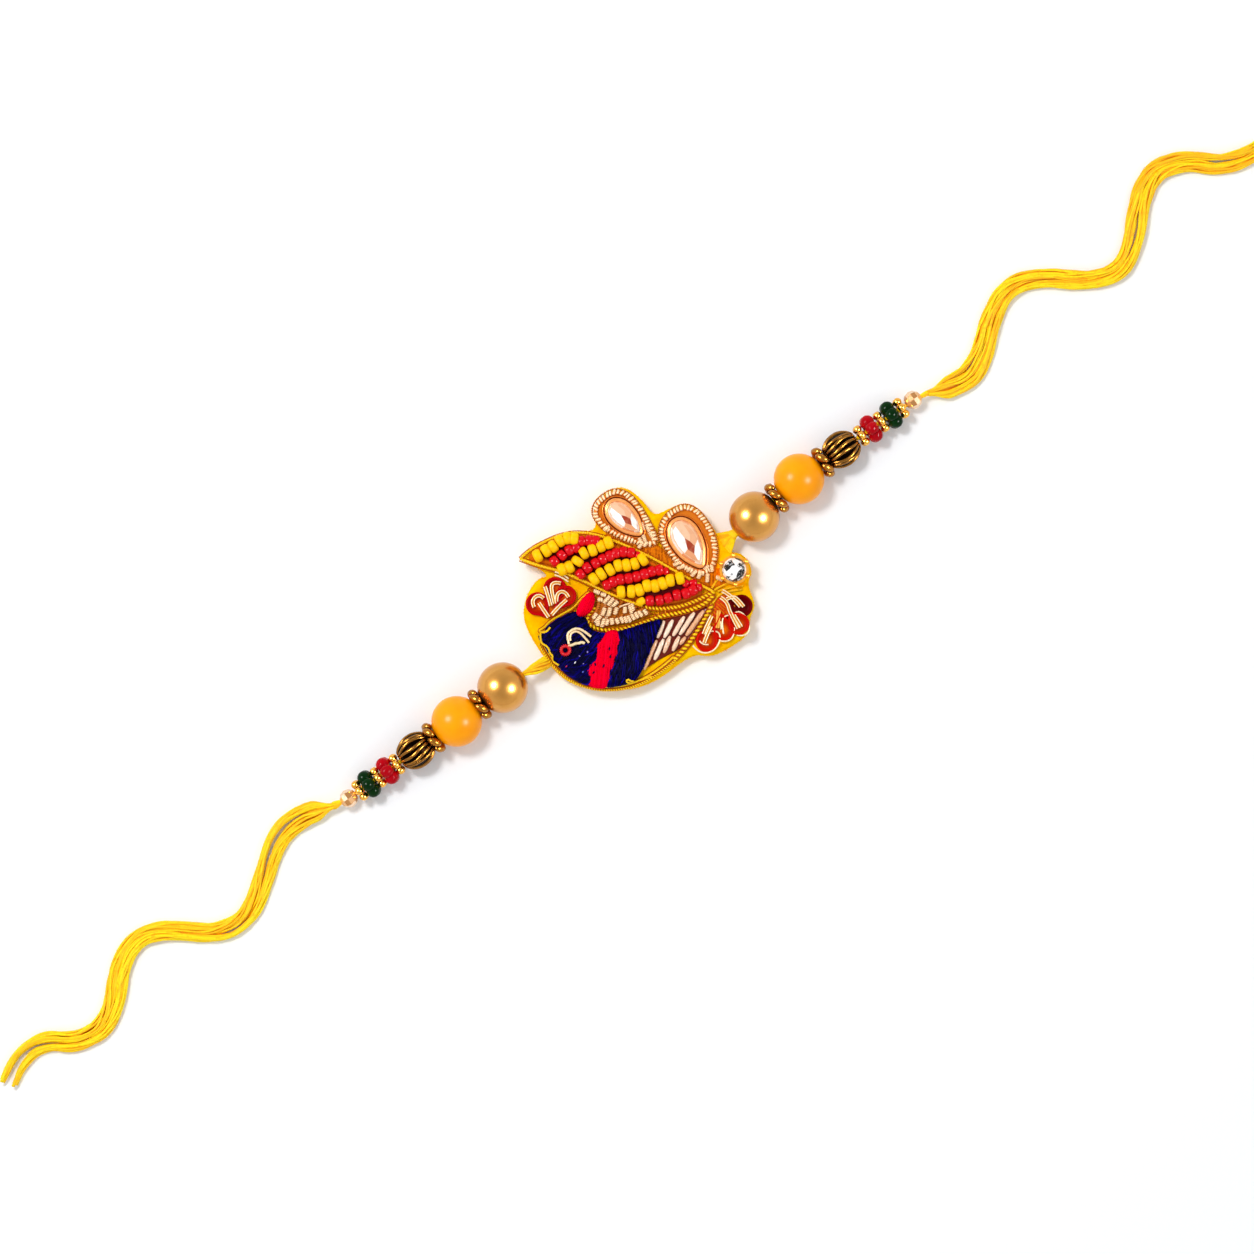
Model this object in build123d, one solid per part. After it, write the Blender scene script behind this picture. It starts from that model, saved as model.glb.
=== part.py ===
from build123d import *
import math
import os
from collections import namedtuple

# Thread bracelet laid flat: an embroidered motif, a bead string on each side, a loose tail beyond.
# Lengths are millimetres. X runs along the string, Z points up from the surface it lies on.

# Motif
MOTIF_LENGTH = 40.0
MOTIF_WIDTH = 31.0
BASE_THICKNESS = 3.0
PAD_THICKNESS = 1.9
PAD_CROWN = 0.7
LEAF_CLOTH_THICKNESS = 0.9
SEED_BEAD_DIAMETER = 1.6
BUGLE_DIAMETER = 0.75
BUGLE_BORE = 0.3
PETAL_THICKNESS = 0.9
PETAL_CROWN = 0.25

# Couched cords and wires
LEAF_CORD = 0.5
BODY_CORD = 0.7
BRIM_CORD = 0.6
COIL_CORD = 0.85
WIRE = 0.55

# Stones and settings
UPPER_STONE_RADIUS = 1.75
UPPER_STONE_REACH = 5.0
LOWER_STONE_RADIUS = 2.05
LOWER_STONE_REACH = 5.2
STONE_GIRDLE = 0.4
STONE_CROWN = 1.0
STONE_TABLE_SHARE = 0.55
BEZEL_WALL = 0.4
BEZEL_HEIGHT = 1.5
BEZEL_FLOOR = 0.5
ROUND_STONE_RADIUS = 1.85
ROUND_CUP_WALL = 0.4
CLAW_DIAMETER = 0.7
CLAW_COUNT = 6
CLAW_RISE = 0.7

# Bead strings
BALL_BEAD_DIAMETER = 8.0
BALL_BEAD_BORE = 2.0
SPACER_LUMP = 1.75
SPACER_CIRCLE = 4.1
SPACER_BORE = 3.0
SPACER_THICKNESS = 1.1
RIBBED_DIAMETER = 5.7
RIBBED_LENGTH = 5.4
RIBBED_END_DIAMETER = 3.0
RIB_COUNT = 14
RIB_GROOVE = 0.5
COLLAR_DIAMETER = 2.6
COLLAR_LENGTH = 0.3
GOLD_BALL = 1.3
GOLD_CIRCLE = 2.6
GOLD_CORE_THICKNESS = 0.8
LOBE = 2.2
LOBE_CIRCLE = 2.8
LOBE_COUNT = 6
END_BEAD_DIAMETER = 2.85
END_BEAD_PLAY = 0.5
THREAD_DIAMETER = 1.4
THREAD_ROOM = 0.1
TAIL_DIAMETER = 2.4
POCKET_DEPTH = 2.4
NECK_RISE_RUN = 0.9
TAIL_LEAD = 1.3

# Clearances
SEAM = 0.05
FLOOR_GAP = 0.05

# The motif is drawn on squared paper, 40 squares along MOTIF_LENGTH and 31 across MOTIF_WIDTH.
# Every outline below counts those squares from the middle of the motif.
SQUARE_X = MOTIF_LENGTH / 40
SQUARE_Y = MOTIF_WIDTH / 31

BASE_OUTLINE = [
    (-10.9, 14.9), (-8.4, 15.8), (-3.4, 14.9), (0.9, 12.3), (2.4, 12.4), (3.3, 15.0), (6.6, 16.1),
    (9.5, 15.2), (10.6, 11.6), (10.5, 8.5), (13.2, 8.2), (16.4, 7.2), (17.2, 2.6), (16.9, -2.9),
    (18.7, -4.2), (18.5, -7.4), (16.4, -8.6), (15.7, -12.2), (13.8, -13.1), (12.2, -15.3),
    (8.2, -15.3), (5.0, -14.7), (3.2, -12.6), (-4.9, -13.1), (-10.4, -10.5), (-14.2, -7.3),
    (-16.4, -3.0), (-16.2, 6.2), (-13.6, 9.6), (-10.0, 11.1), (-8.4, 10.2), (-9.0, 12.4)]

LEAF_BORDER = [
    (-10.4, 15.0), (-7.2, 15.35), (-2.4, 14.45), (0.9, 12.15), (3.4, 8.8), (6.6, 3.4), (8.5, -0.9),
    (11.5, -6.7), (7.4, -6.15), (3.3, -4.3), (0.9, -2.1), (-2.4, 2.9), (-4.4, 6.7), (-6.5, 10.0),
    (-8.6, 12.4)]

LEAF_PANEL = [
    (-9.9, 14.7), (-7.0, 14.95), (-2.6, 14.05), (0.6, 11.85), (3.0, 8.6), (6.15, 3.2), (8.1, -1.0),
    (10.7, -6.15), (7.5, -5.7), (3.5, -3.85), (1.3, -1.8), (-2.0, 3.1), (-4.0, 6.9), (-6.1, 10.3),
    (-8.2, 12.7)]

# Seed-bead rows across the leaf, from its tip to the motif's right end
BeadRow = namedtuple("BeadRow", "x1 y1 x2 y2")
BEAD_ROWS = [
    BeadRow(-7.9, 13.75, -2.4, 13.1),
    BeadRow(-6.3, 11.75, -0.1, 11.2),
    BeadRow(-5.1, 9.7, 1.6, 9.15),
    BeadRow(-3.6, 7.75, 3.2, 6.7),
    BeadRow(-2.5, 5.75, 4.5, 4.3),
    BeadRow(-1.3, 3.75, 5.7, 1.7),
    BeadRow(0.1, 1.5, 7.5, -1.3),
    BeadRow(2.4, -1.6, 8.6, -4.4)]

HEAD_PAD = [
    (-14.9, 3.2), (-12.3, 3.75), (-8.5, 3.35), (-8.6, 2.4), (-7.6, 1.6), (-8.2, 0.3), (-7.2, -1.7),
    (-5.7, -2.6), (-8.5, -2.6), (-9.8, -4.5), (-11.0, -4.8), (-12.3, -5.9), (-13.1, -6.8),
    (-14.4, -4.7), (-15.1, -1.6)]

RED_STRIPE = [
    (-5.0, -2.95), (-8.3, -2.85), (-9.7, -4.75), (-10.9, -5.05), (-12.1, -6.2), (-12.7, -7.2),
    (-10.8, -8.8), (-8.9, -7.3), (-7.7, -6.6), (-5.0, -4.3)]

BODY_PAD = [
    (-4.5, -3.35), (1.2, -5.15), (1.7, -5.75), (-0.9, -7.3), (-5.1, -9.9), (-7.0, -10.6),
    (-10.4, -9.1), (-8.7, -7.6), (-7.3, -6.8), (-4.7, -4.5)]

RED_LEAF = [
    (-8.1, 2.6), (-7.0, 1.95), (-5.3, 2.4), (-4.4, 3.7), (-5.4, 4.1), (-7.4, 3.5)]

BRIM_CRESCENT = [
    (-7.1, 0.9), (-6.5, 1.7), (-4.9, 2.2), (-4.0, 3.7), (-3.3, 3.6), (-2.9, 2.7), (0.3, -2.1),
    (1.5, -3.5), (1.5, -4.05), (-2.2, -3.0), (-4.9, -1.9), (-6.7, -0.4)]

BRIM_BORDER = [
    (-7.4, 1.3), (-7.9, 0.1), (-6.5, -1.5), (-4.2, -3.2), (0.8, -4.65), (2.6, -5.05), (5.5, -6.45),
    (9.2, -7.5)]

BODY_BORDER = [
    (-15.5, 2.4), (-16.0, -1.1), (-14.7, -5.6), (-12.3, -8.8), (-8.0, -11.4), (-3.2, -12.1),
    (2.5, -11.5), (8.4, -9.1), (11.3, -7.35), (13.4, -7.8), (15.3, -8.85)]

TOP_BORDER = [
    (-15.1, 4.2), (-13.8, 3.85), (-12.2, 4.4), (-9.9, 4.15), (-7.9, 3.95), (-6.3, 4.5), (-4.6, 4.6)]

Bugle = namedtuple("Bugle", "x1 y1 x2 y2")
BUGLES = [
    Bugle(2.2, -6.1, -0.1, -7.55), Bugle(-0.5, -7.8, -4.2, -9.9),
    Bugle(3.6, -6.5, 1.8, -7.8), Bugle(1.4, -8.05, -2.3, -9.9),
    Bugle(5.3, -7.15, 2.3, -8.25), Bugle(1.9, -8.5, -0.6, -9.85),
    Bugle(6.9, -7.65, 3.3, -9.1), Bugle(2.9, -9.3, 0.8, -10.4),
    Bugle(8.1, -8.2, 4.1, -9.75), Bugle(3.7, -9.95, 2.2, -10.5)]

Drop = namedtuple("Drop", "x y heading")
UPPER_DROP = Drop(6.15, 12.45, -79)
LOWER_DROP = Drop(12.65, 3.75, -94)
UPPER_FRAME = [(3.15, 15.5), (9.5, 15.3), (8.95, 5.25), (7.3, 5.15), (3.15, 10.7)]
LOWER_FRAME = [(9.55, 6.9), (16.4, 7.6), (16.6, 0.0), (12.6, -4.2), (9.4, -0.7)]
ROUND_STONE = (16.05, -5.6)

# Petals: centre and radius of the round end, then the pointed root, in squares. A later petal lies
# over the one before it, which is cut back to let it in.
Petal = namedtuple("Petal", "x y radius root_x root_y")
LEFT_PETALS = [
    Petal(-12.35, 7.75, 1.9, -12.2, 5.1),
    Petal(-8.7, 8.2, 1.85, -10.4, 6.2),
    Petal(-7.95, 6.2, 1.7, -10.8, 5.3)]
RIGHT_PETALS = [
    Petal(13.7, -10.9, 1.85, 12.7, -8.6),
    Petal(6.1, -12.3, 1.8, 8.4, -11.1),
    Petal(9.3, -12.4, 1.75, 10.4, -9.8),
    Petal(11.75, -13.0, 1.75, 11.6, -10.4)]

# Flower wires, in squares
LEFT_STAMENS = [
    [(-12.05, 5.1), (-11.9, 7.75)],
    [(-13.1, 7.9), (-12.6, 8.6), (-11.6, 8.7), (-11.0, 8.1)],
    [(-10.8, 6.6), (-9.8, 9.3)],
    [(-10.2, 6.1), (-9.2, 8.4), (-8.2, 9.0), (-7.5, 8.2)],
    [(-11.3, 5.1), (-9.2, 5.6), (-8.2, 5.5)],
    [(-9.6, 6.5), (-8.4, 7.0), (-7.6, 6.2)]]
RIGHT_STAMENS = [
    [(9.2, -9.6), (6.6, -11.0)],
    [(7.8, -11.1), (5.7, -12.3)],
    [(10.3, -9.5), (8.6, -11.5)],
    [(10.8, -10.2), (9.5, -12.7)],
    [(12.0, -8.3), (11.9, -10.1), (11.2, -13.2)],
    [(12.5, -10.6), (11.9, -13.6)],
    [(12.6, -7.9), (13.6, -9.2), (13.9, -11.1)]]
EYE_LOOP = [
    (-12.1, -0.4), (-11.3, 0.1), (-11.4, 1.1), (-9.8, 1.4), (-8.6, 0.4), (-8.5, -1.3)]
EYE_RING = (-12.9, -0.75)
EYE_RING_DIAMETER = 1.3

# Side: -1 left, +1 right. start_x, start_y: inner pole of the first bead, in squares. heading: way
# from the first to the second ball bead, in degrees off the X axis, positive towards +Y. outer: the
# same for the rest. play: extra gap between neighbours. neck: where the thread leaves the base.
BeadString = namedtuple("BeadString", "name side start_x start_y heading outer play neck_x neck_y")
BEAD_STRINGS = [
    BeadString("left", -1, -20.35, 0.1, -1.3, -0.5, 0.0, -16.6, -0.55),
    BeadString("right", 1, 19.4, -0.6, 5.3, -0.2, 0.12, 16.9, -1.1)]

# Routes of the free tails over the surface, as steps from the last bead's mouth, in millimetres
TAIL_ROUTES = {
    "left": [
        (-5.5, 2.1), (-11.5, 1.8), (-20.9, -6.1), (-27.5, -6.05), (-35.5, 1.05), (-41.8, 0.75),
        (-49.2, -7.4), (-55.6, -7.1), (-59.7, -3.6), (-64.8, -3.7), (-68.4, -6.1)],
    "right": [
        (4.6, -2.0), (10.0, -2.0), (18.0, 5.35), (24.4, 5.85), (33.1, -1.65), (39.4, -1.85),
        (47.7, 7.45), (54.2, 7.45), (60.9, 0.95), (66.4, 1.15)]}

RADIUS_SHARE = 0.45
BASE_TOP = BASE_THICKNESS
ON_BASE = BASE_TOP + SEAM
BALL_RADIUS = BALL_BEAD_DIAMETER / 2
THREAD_RADIUS = THREAD_DIAMETER / 2
TAIL_RADIUS = TAIL_DIAMETER / 2


def on_motif(points, z=0.0):
    """Squares of the pattern, as points in millimetres at one height."""
    return [Vector(x * SQUARE_X, y * SQUARE_Y, z) for x, y in points]


def corner_radii(points, close=False):
    """The largest even radius at each corner: a share of its shorter run over tan(half the turn)."""
    count = len(points)
    corners = range(count) if close else range(1, count - 1)
    radii = []
    for i in corners:
        before = points[i] - points[i - 1]
        after = points[(i + 1) % count] - points[i]
        half_turn = math.radians(before.get_angle(after) / 2)
        radii.append(RADIUS_SHARE * min(before.length, after.length) / math.tan(half_turn))
    return radii


def soft_line(points, close=False):
    """Straight runs joined by tangent arcs."""
    if len(points) == 2:
        return Line(*points)
    return FilletPolyline(*points, radius=corner_radii(points, close), close=close)


def outline(points):
    return make_face(soft_line(points, close=True))


def tube(points, diameter, close=False):
    """A round cord along a soft line."""
    line = soft_line(points, close)
    profile = Plane(origin=line @ 0, z_dir=line % 0) * Circle(diameter / 2)
    return sweep(profile, path=line)


def crowned(face, bottom, thickness, crown):
    """A padded piece: its face raised to thickness, its top a shallow dome that falls to the rim."""
    box = face.bounding_box()
    reach = math.hypot(box.size.X, box.size.Y) / 2
    dome_radius = (reach ** 2 + crown ** 2) / (2 * crown)
    centre = box.center()
    dome = Pos(centre.X, centre.Y, bottom + thickness - dome_radius) * Sphere(dome_radius)
    return (Pos(0, 0, bottom) * extrude(face, amount=thickness)) & dome


def capsule(start, end, diameter):
    """A round-ended bar between two points."""
    axis = end - start
    bar = Plane(origin=start, z_dir=axis) * Cylinder(
        diameter / 2, axis.length, align=(Align.CENTER, Align.CENTER, Align.MIN))
    return bar + Pos(*start) * Sphere(diameter / 2) + Pos(*end) * Sphere(diameter / 2)


def base_felt(pockets):
    base = extrude(outline(on_motif(BASE_OUTLINE)), amount=BASE_THICKNESS)
    for pocket in pockets:
        base -= pocket
    return base


def bead_panel():
    """The leaf's padded cloth with one rounded bar for each row of seed beads."""
    cloth = Pos(0, 0, ON_BASE) * extrude(outline(on_motif(LEAF_PANEL)), amount=LEAF_CLOTH_THICKNESS)
    bar_height = ON_BASE + PAD_THICKNESS - SEED_BEAD_DIAMETER / 2
    panel = cloth
    for row in BEAD_ROWS:
        start, end = on_motif([(row.x1, row.y1), (row.x2, row.y2)], bar_height)
        panel += capsule(start, end, SEED_BEAD_DIAMETER)
    return panel


def bugle_beads():
    beads = []
    height = ON_BASE + BUGLE_DIAMETER / 2
    for row in BUGLES:
        start, end = on_motif([(row.x1, row.y1), (row.x2, row.y2)], height)
        axis = end - start
        bead = Cylinder(BUGLE_DIAMETER / 2, axis.length) - Cylinder(BUGLE_BORE / 2, axis.length)
        beads.append(Plane(origin=(start + end) / 2, z_dir=axis) * bead)
    return Compound(children=[bead.solid() for bead in beads])


def pear(radius, reach):
    """A drop outline: a round end about the origin and a point at reach along +X."""
    spread = math.degrees(math.acos(radius / reach))
    upper = Vector(radius, 0).rotate(Axis.Z, spread)
    lower = Vector(radius, 0).rotate(Axis.Z, -spread)
    tip = Vector(reach, 0)
    edges = [ThreePointArc(upper, Vector(-radius, 0), lower), Line(lower, tip), Line(tip, upper)]
    return make_face(edges)


def grown_pear(radius, reach, margin):
    """The same drop with its whole edge moved out by margin."""
    return pear(radius + margin, reach * (radius + margin) / radius)


def facet_ring(radius, reach, facets):
    """Corners of a faceted drop: evenly spread round its round end, with one at the point."""
    spread = math.degrees(math.acos(radius / reach))
    arc = 360 - 2 * spread
    corners = [Vector(reach, 0)]
    for i in range(facets - 1):
        corners.append(Vector(radius, 0).rotate(Axis.Z, spread + arc * i / (facets - 2)))
    return corners


def faceted(corners, table_share, girdle, crown):
    """A flat-backed cut stone: a girdle band, one crown facet for each side and a table."""
    face = make_face(Polyline(*corners, close=True))
    centre = face.center()
    band = extrude(face, amount=girdle)
    rim = Pos(0, 0, girdle) * face
    table = Pos(centre.X, centre.Y, girdle + crown) * (
        Pos(-centre.X * table_share, -centre.Y * table_share) * scale(face, by=table_share))
    return band + loft([rim, table], ruled=True)


def drop_pieces(drop, radius, reach):
    """A drop stone and the bezel that holds it."""
    place = Pos(*on_motif([(drop.x, drop.y)], ON_BASE)[0]) * Rot(0, 0, drop.heading)
    setting = extrude(grown_pear(radius, reach, BEZEL_WALL), amount=BEZEL_HEIGHT)
    pocket = extrude(grown_pear(radius, reach, SEAM), amount=BEZEL_HEIGHT)
    setting -= Pos(0, 0, BEZEL_FLOOR) * pocket
    stone = faceted(facet_ring(radius, reach, 14), STONE_TABLE_SHARE, STONE_GIRDLE, STONE_CROWN)
    seat = BEZEL_HEIGHT - STONE_GIRDLE
    stone = Pos(0, 0, seat) * stone + Pos(0, 0, BEZEL_FLOOR + SEAM) * extrude(
        make_face(Polyline(*facet_ring(radius, reach, 14), close=True)), amount=seat - BEZEL_FLOOR)
    return place * stone, place * setting


def round_pieces():
    """The round crystal and its claw cup."""
    place = Pos(*on_motif([ROUND_STONE], ON_BASE)[0])
    outer = ROUND_STONE_RADIUS + SEAM + ROUND_CUP_WALL
    cup = Cylinder(outer, BEZEL_HEIGHT, align=(Align.CENTER, Align.CENTER, Align.MIN))
    pocket = Cylinder(ROUND_STONE_RADIUS + SEAM, BEZEL_HEIGHT, align=(Align.CENTER, Align.CENTER, Align.MIN))
    claw_height = BEZEL_HEIGHT + CLAW_RISE
    claw = Cylinder(CLAW_DIAMETER / 2, claw_height, align=(Align.CENTER, Align.CENTER, Align.MIN))
    claw += Pos(0, 0, claw_height) * Sphere(CLAW_DIAMETER / 2)
    claws = [spot * claw for spot in PolarLocations(outer, CLAW_COUNT)]
    setting = cup
    for piece in claws:
        setting += piece
    setting -= Pos(0, 0, BEZEL_FLOOR) * pocket
    setting -= Pos(0, 0, BEZEL_HEIGHT) * pocket
    corners = [Vector(ROUND_STONE_RADIUS, 0).rotate(Axis.Z, 22.5 * i) for i in range(16)]
    stone = extrude(make_face(Polyline(*corners, close=True)), amount=BEZEL_HEIGHT - BEZEL_FLOOR - SEAM)
    top = faceted(corners, STONE_TABLE_SHARE, STONE_GIRDLE, STONE_CROWN)
    stone = Pos(0, 0, BEZEL_FLOOR + SEAM) * stone + Pos(0, 0, BEZEL_HEIGHT) * top
    return place * stone, place * setting


def petal_face(petal, margin):
    """One petal's outline: a drop whose point is its root."""
    centre, root = on_motif([(petal.x, petal.y), (petal.root_x, petal.root_y)])
    axis = root - centre
    face = grown_pear(petal.radius * SQUARE_Y, axis.length, margin)
    return Pos(*centre) * Rot(0, 0, math.degrees(math.atan2(axis.Y, axis.X))) * face


def petals(rows):
    """Padded petals, each cut back from the ones that lie over it."""
    solids = []
    for i, row in enumerate(rows):
        solid = crowned(petal_face(row, 0), ON_BASE, PETAL_THICKNESS, PETAL_CROWN)
        for other in rows[i + 1:]:
            solid -= Pos(0, 0, ON_BASE - SEAM) * extrude(
                petal_face(other, SEAM), amount=PETAL_THICKNESS + 2 * SEAM)
        solids.append(max(solid.solids(), key=lambda piece: piece.volume))
    return solids


def stamens(rows):
    height = ON_BASE + PETAL_THICKNESS + SEAM + WIRE / 2
    wires = [tube(on_motif(row, height), WIRE) for row in rows]
    return Compound(children=[wire.solid() for wire in wires])


def along(side, heading, slope):
    """Unit vector out along a string: heading off the X axis, slope down from level."""
    flat = math.cos(math.radians(slope))
    return Vector(
        side * flat * math.cos(math.radians(heading)),
        flat * math.sin(math.radians(heading)),
        -math.sin(math.radians(slope)))


def seat_on_ball(ball_radius, lump, circle):
    """Distance from a ball's centre to a ring whose lumps rest on it."""
    return math.sqrt((ball_radius + lump / 2 + SEAM) ** 2 - (circle / 2) ** 2)


def ring_step(lump_a, circle_a, lump_b, circle_b):
    """Distance between two rings of lumps that rest on each other."""
    return math.sqrt(((lump_a + lump_b) / 2 + SEAM) ** 2 - ((circle_a - circle_b) / 2) ** 2)


def rib_arc():
    """Radius of the ribbed bead's lengthwise curve, and its centre's height off the axis."""
    rise = (RIBBED_DIAMETER - RIBBED_END_DIAMETER) / 2
    radius = ((RIBBED_LENGTH / 2) ** 2 + rise ** 2) / (2 * rise)
    return radius, RIBBED_DIAMETER / 2 - radius


def drilled_ball(diameter, bore):
    return Sphere(diameter / 2) - Rot(0, 90, 0) * Cylinder(bore / 2, 2 * diameter)


def lump_ring(lump, circle, count, bore, core_thickness):
    """A ring of round lumps about the X axis, joined by a flat core where it has one."""
    ring = None
    for i in range(count):
        ball = Rot(360 * i / count, 0, 0) * Pos(0, 0, circle / 2) * Sphere(lump / 2)
        ring = ball if ring is None else ring + ball
    if core_thickness:
        ring += Rot(0, 90, 0) * Cylinder(circle / 2, core_thickness)
    return ring - Rot(0, 90, 0) * Cylinder(bore / 2, 4 * lump)


def ribbed_bead(bore):
    """A barrel bead with lengthwise grooves between its ribs and a collar at each end."""
    radius, height = rib_arc()
    half = RIBBED_LENGTH / 2
    end = RIBBED_END_DIAMETER / 2
    profile = make_face([
        Line((-half, 0), (-half, end)),
        ThreePointArc((-half, end), (0, RIBBED_DIAMETER / 2), (half, end)),
        Line((half, end), (half, 0)),
        Line((half, 0), (-half, 0))])
    bead = revolve(profile, axis=Axis.X)
    groove = Pos(0, height, 0) * Torus(radius, RIB_GROOVE / 2)
    for i in range(RIB_COUNT):
        bead -= Rot(360 * i / RIB_COUNT, 0, 0) * groove
    bead += Rot(0, 90, 0) * Cylinder(COLLAR_DIAMETER / 2, RIBBED_LENGTH + 2 * COLLAR_LENGTH)
    return bead - Rot(0, 90, 0) * Cylinder(bore / 2, 2 * RIBBED_LENGTH)


def string_steps(play):
    """Distances outward between neighbours on a string: from the first ball bead, then on."""
    arc_radius, arc_height = rib_arc()
    spacer_radius = SPACER_CIRCLE / 2
    on_ball = seat_on_ball(BALL_RADIUS, SPACER_LUMP, SPACER_CIRCLE) + play
    on_ribs = math.sqrt((arc_radius + SPACER_LUMP / 2 + SEAM) ** 2 - (spacer_radius - arc_height) ** 2)
    on_collar = RIBBED_LENGTH / 2 + COLLAR_LENGTH + SEAM + GOLD_BALL / 2
    rings = ring_step(GOLD_BALL, GOLD_CIRCLE, LOBE, LOBE_CIRCLE) + play
    on_end = seat_on_ball(END_BEAD_DIAMETER / 2, GOLD_BALL, GOLD_CIRCLE) + END_BEAD_PLAY
    return [on_ball, on_ball, on_ball, on_ribs + play, on_collar + play, rings, rings, rings, rings,
            on_end + play]


def string_droop(steps):
    """Slope from the second ball bead down to where the widest small ring touches the surface."""
    reach = sum(steps[2:8])
    ring_radius = (LOBE_CIRCLE + LOBE) / 2
    return math.degrees(math.asin((BALL_RADIUS - ring_radius) / reach))


def string_places(row):
    """Where each bead of one string sits and which way its bore points."""
    steps = string_steps(row.play)
    first = along(row.side, row.heading, 0)
    rest = along(row.side, row.outer, string_droop(steps))
    start = on_motif([(row.start_x, row.start_y)], BALL_RADIUS)[0]
    point = start + Vector(row.side * BALL_RADIUS, 0, 0)
    places = [(point, first)]
    for i, step in enumerate(steps):
        way = first if i < 2 else rest
        point = point + way * step
        places.append((point, way))
    places[2] = (places[2][0], (first + rest).normalized())
    return places


def string_beads(row):
    """Every bead and ring of one string, as (name, solid) pairs."""
    small_bore = THREAD_DIAMETER + 2 * THREAD_ROOM
    spacer = lump_ring(SPACER_LUMP, SPACER_CIRCLE, LOBE_COUNT, SPACER_BORE, SPACER_THICKNESS)
    gold_ring = lump_ring(GOLD_BALL, GOLD_CIRCLE, LOBE_COUNT, small_bore, GOLD_CORE_THICKNESS)
    lobed_ring = lump_ring(LOBE, LOBE_CIRCLE, LOBE_COUNT, small_bore, 0)
    ball = drilled_ball(BALL_BEAD_DIAMETER, BALL_BEAD_BORE)
    solids = [
        ("pearl_bead", ball), ("spacer_1", spacer), ("orange_bead", ball), ("spacer_2", spacer),
        ("ribbed_bead", ribbed_bead(small_bore)), ("gold_ring_1", gold_ring),
        ("red_ring", lobed_ring), ("gold_ring_2", gold_ring), ("green_ring", lobed_ring),
        ("gold_ring_3", gold_ring), ("end_bead", drilled_ball(END_BEAD_DIAMETER, small_bore))]
    beads = []
    for (name, solid), (centre, way) in zip(solids, string_places(row)):
        frame = Plane(origin=centre, x_dir=way, z_dir=Vector(0, 0, 1) - way * way.Z)
        beads.append((row.name + "_" + name, frame * solid))
    return beads


def thread_route(row):
    """The bead thread: out of the base's edge, up to the first bore, along the beads and out."""
    places = string_places(row)
    first_centre, first_way = places[0]
    end_centre, end_way = places[-1]
    level = BASE_THICKNESS / 2
    neck = on_motif([(row.neck_x, row.neck_y)], level)[0]
    inside = neck - Vector(row.side * POCKET_DEPTH, 0, 0)
    rise = first_centre - first_way * (BALL_RADIUS + NECK_RISE_RUN)
    mouth = end_centre + end_way * (END_BEAD_DIAMETER / 2 + SEAM)
    lead = (tail_points(row, mouth)[0] - mouth).normalized()
    return [inside, neck, rise, places[2][0], mouth, mouth + lead * TAIL_LEAD]


def tail_points(row, mouth):
    """The tail's chosen points on the surface, stepped off from the last bead's mouth."""
    level = TAIL_RADIUS + FLOOR_GAP
    return [Vector(mouth.X + x, mouth.Y + y, level) for x, y in TAIL_ROUTES[row.name]]


def tail_route(row):
    """The free tail: from the end of the bead thread on over the surface."""
    mouth, end = thread_route(row)[-2:]
    return [end] + tail_points(row, mouth)


def report_radii(name, points, diameter):
    radii = corner_radii(points)
    print(name, "radii in diameters:", " ".join("%.1f" % (radius / diameter) for radius in radii))


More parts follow.
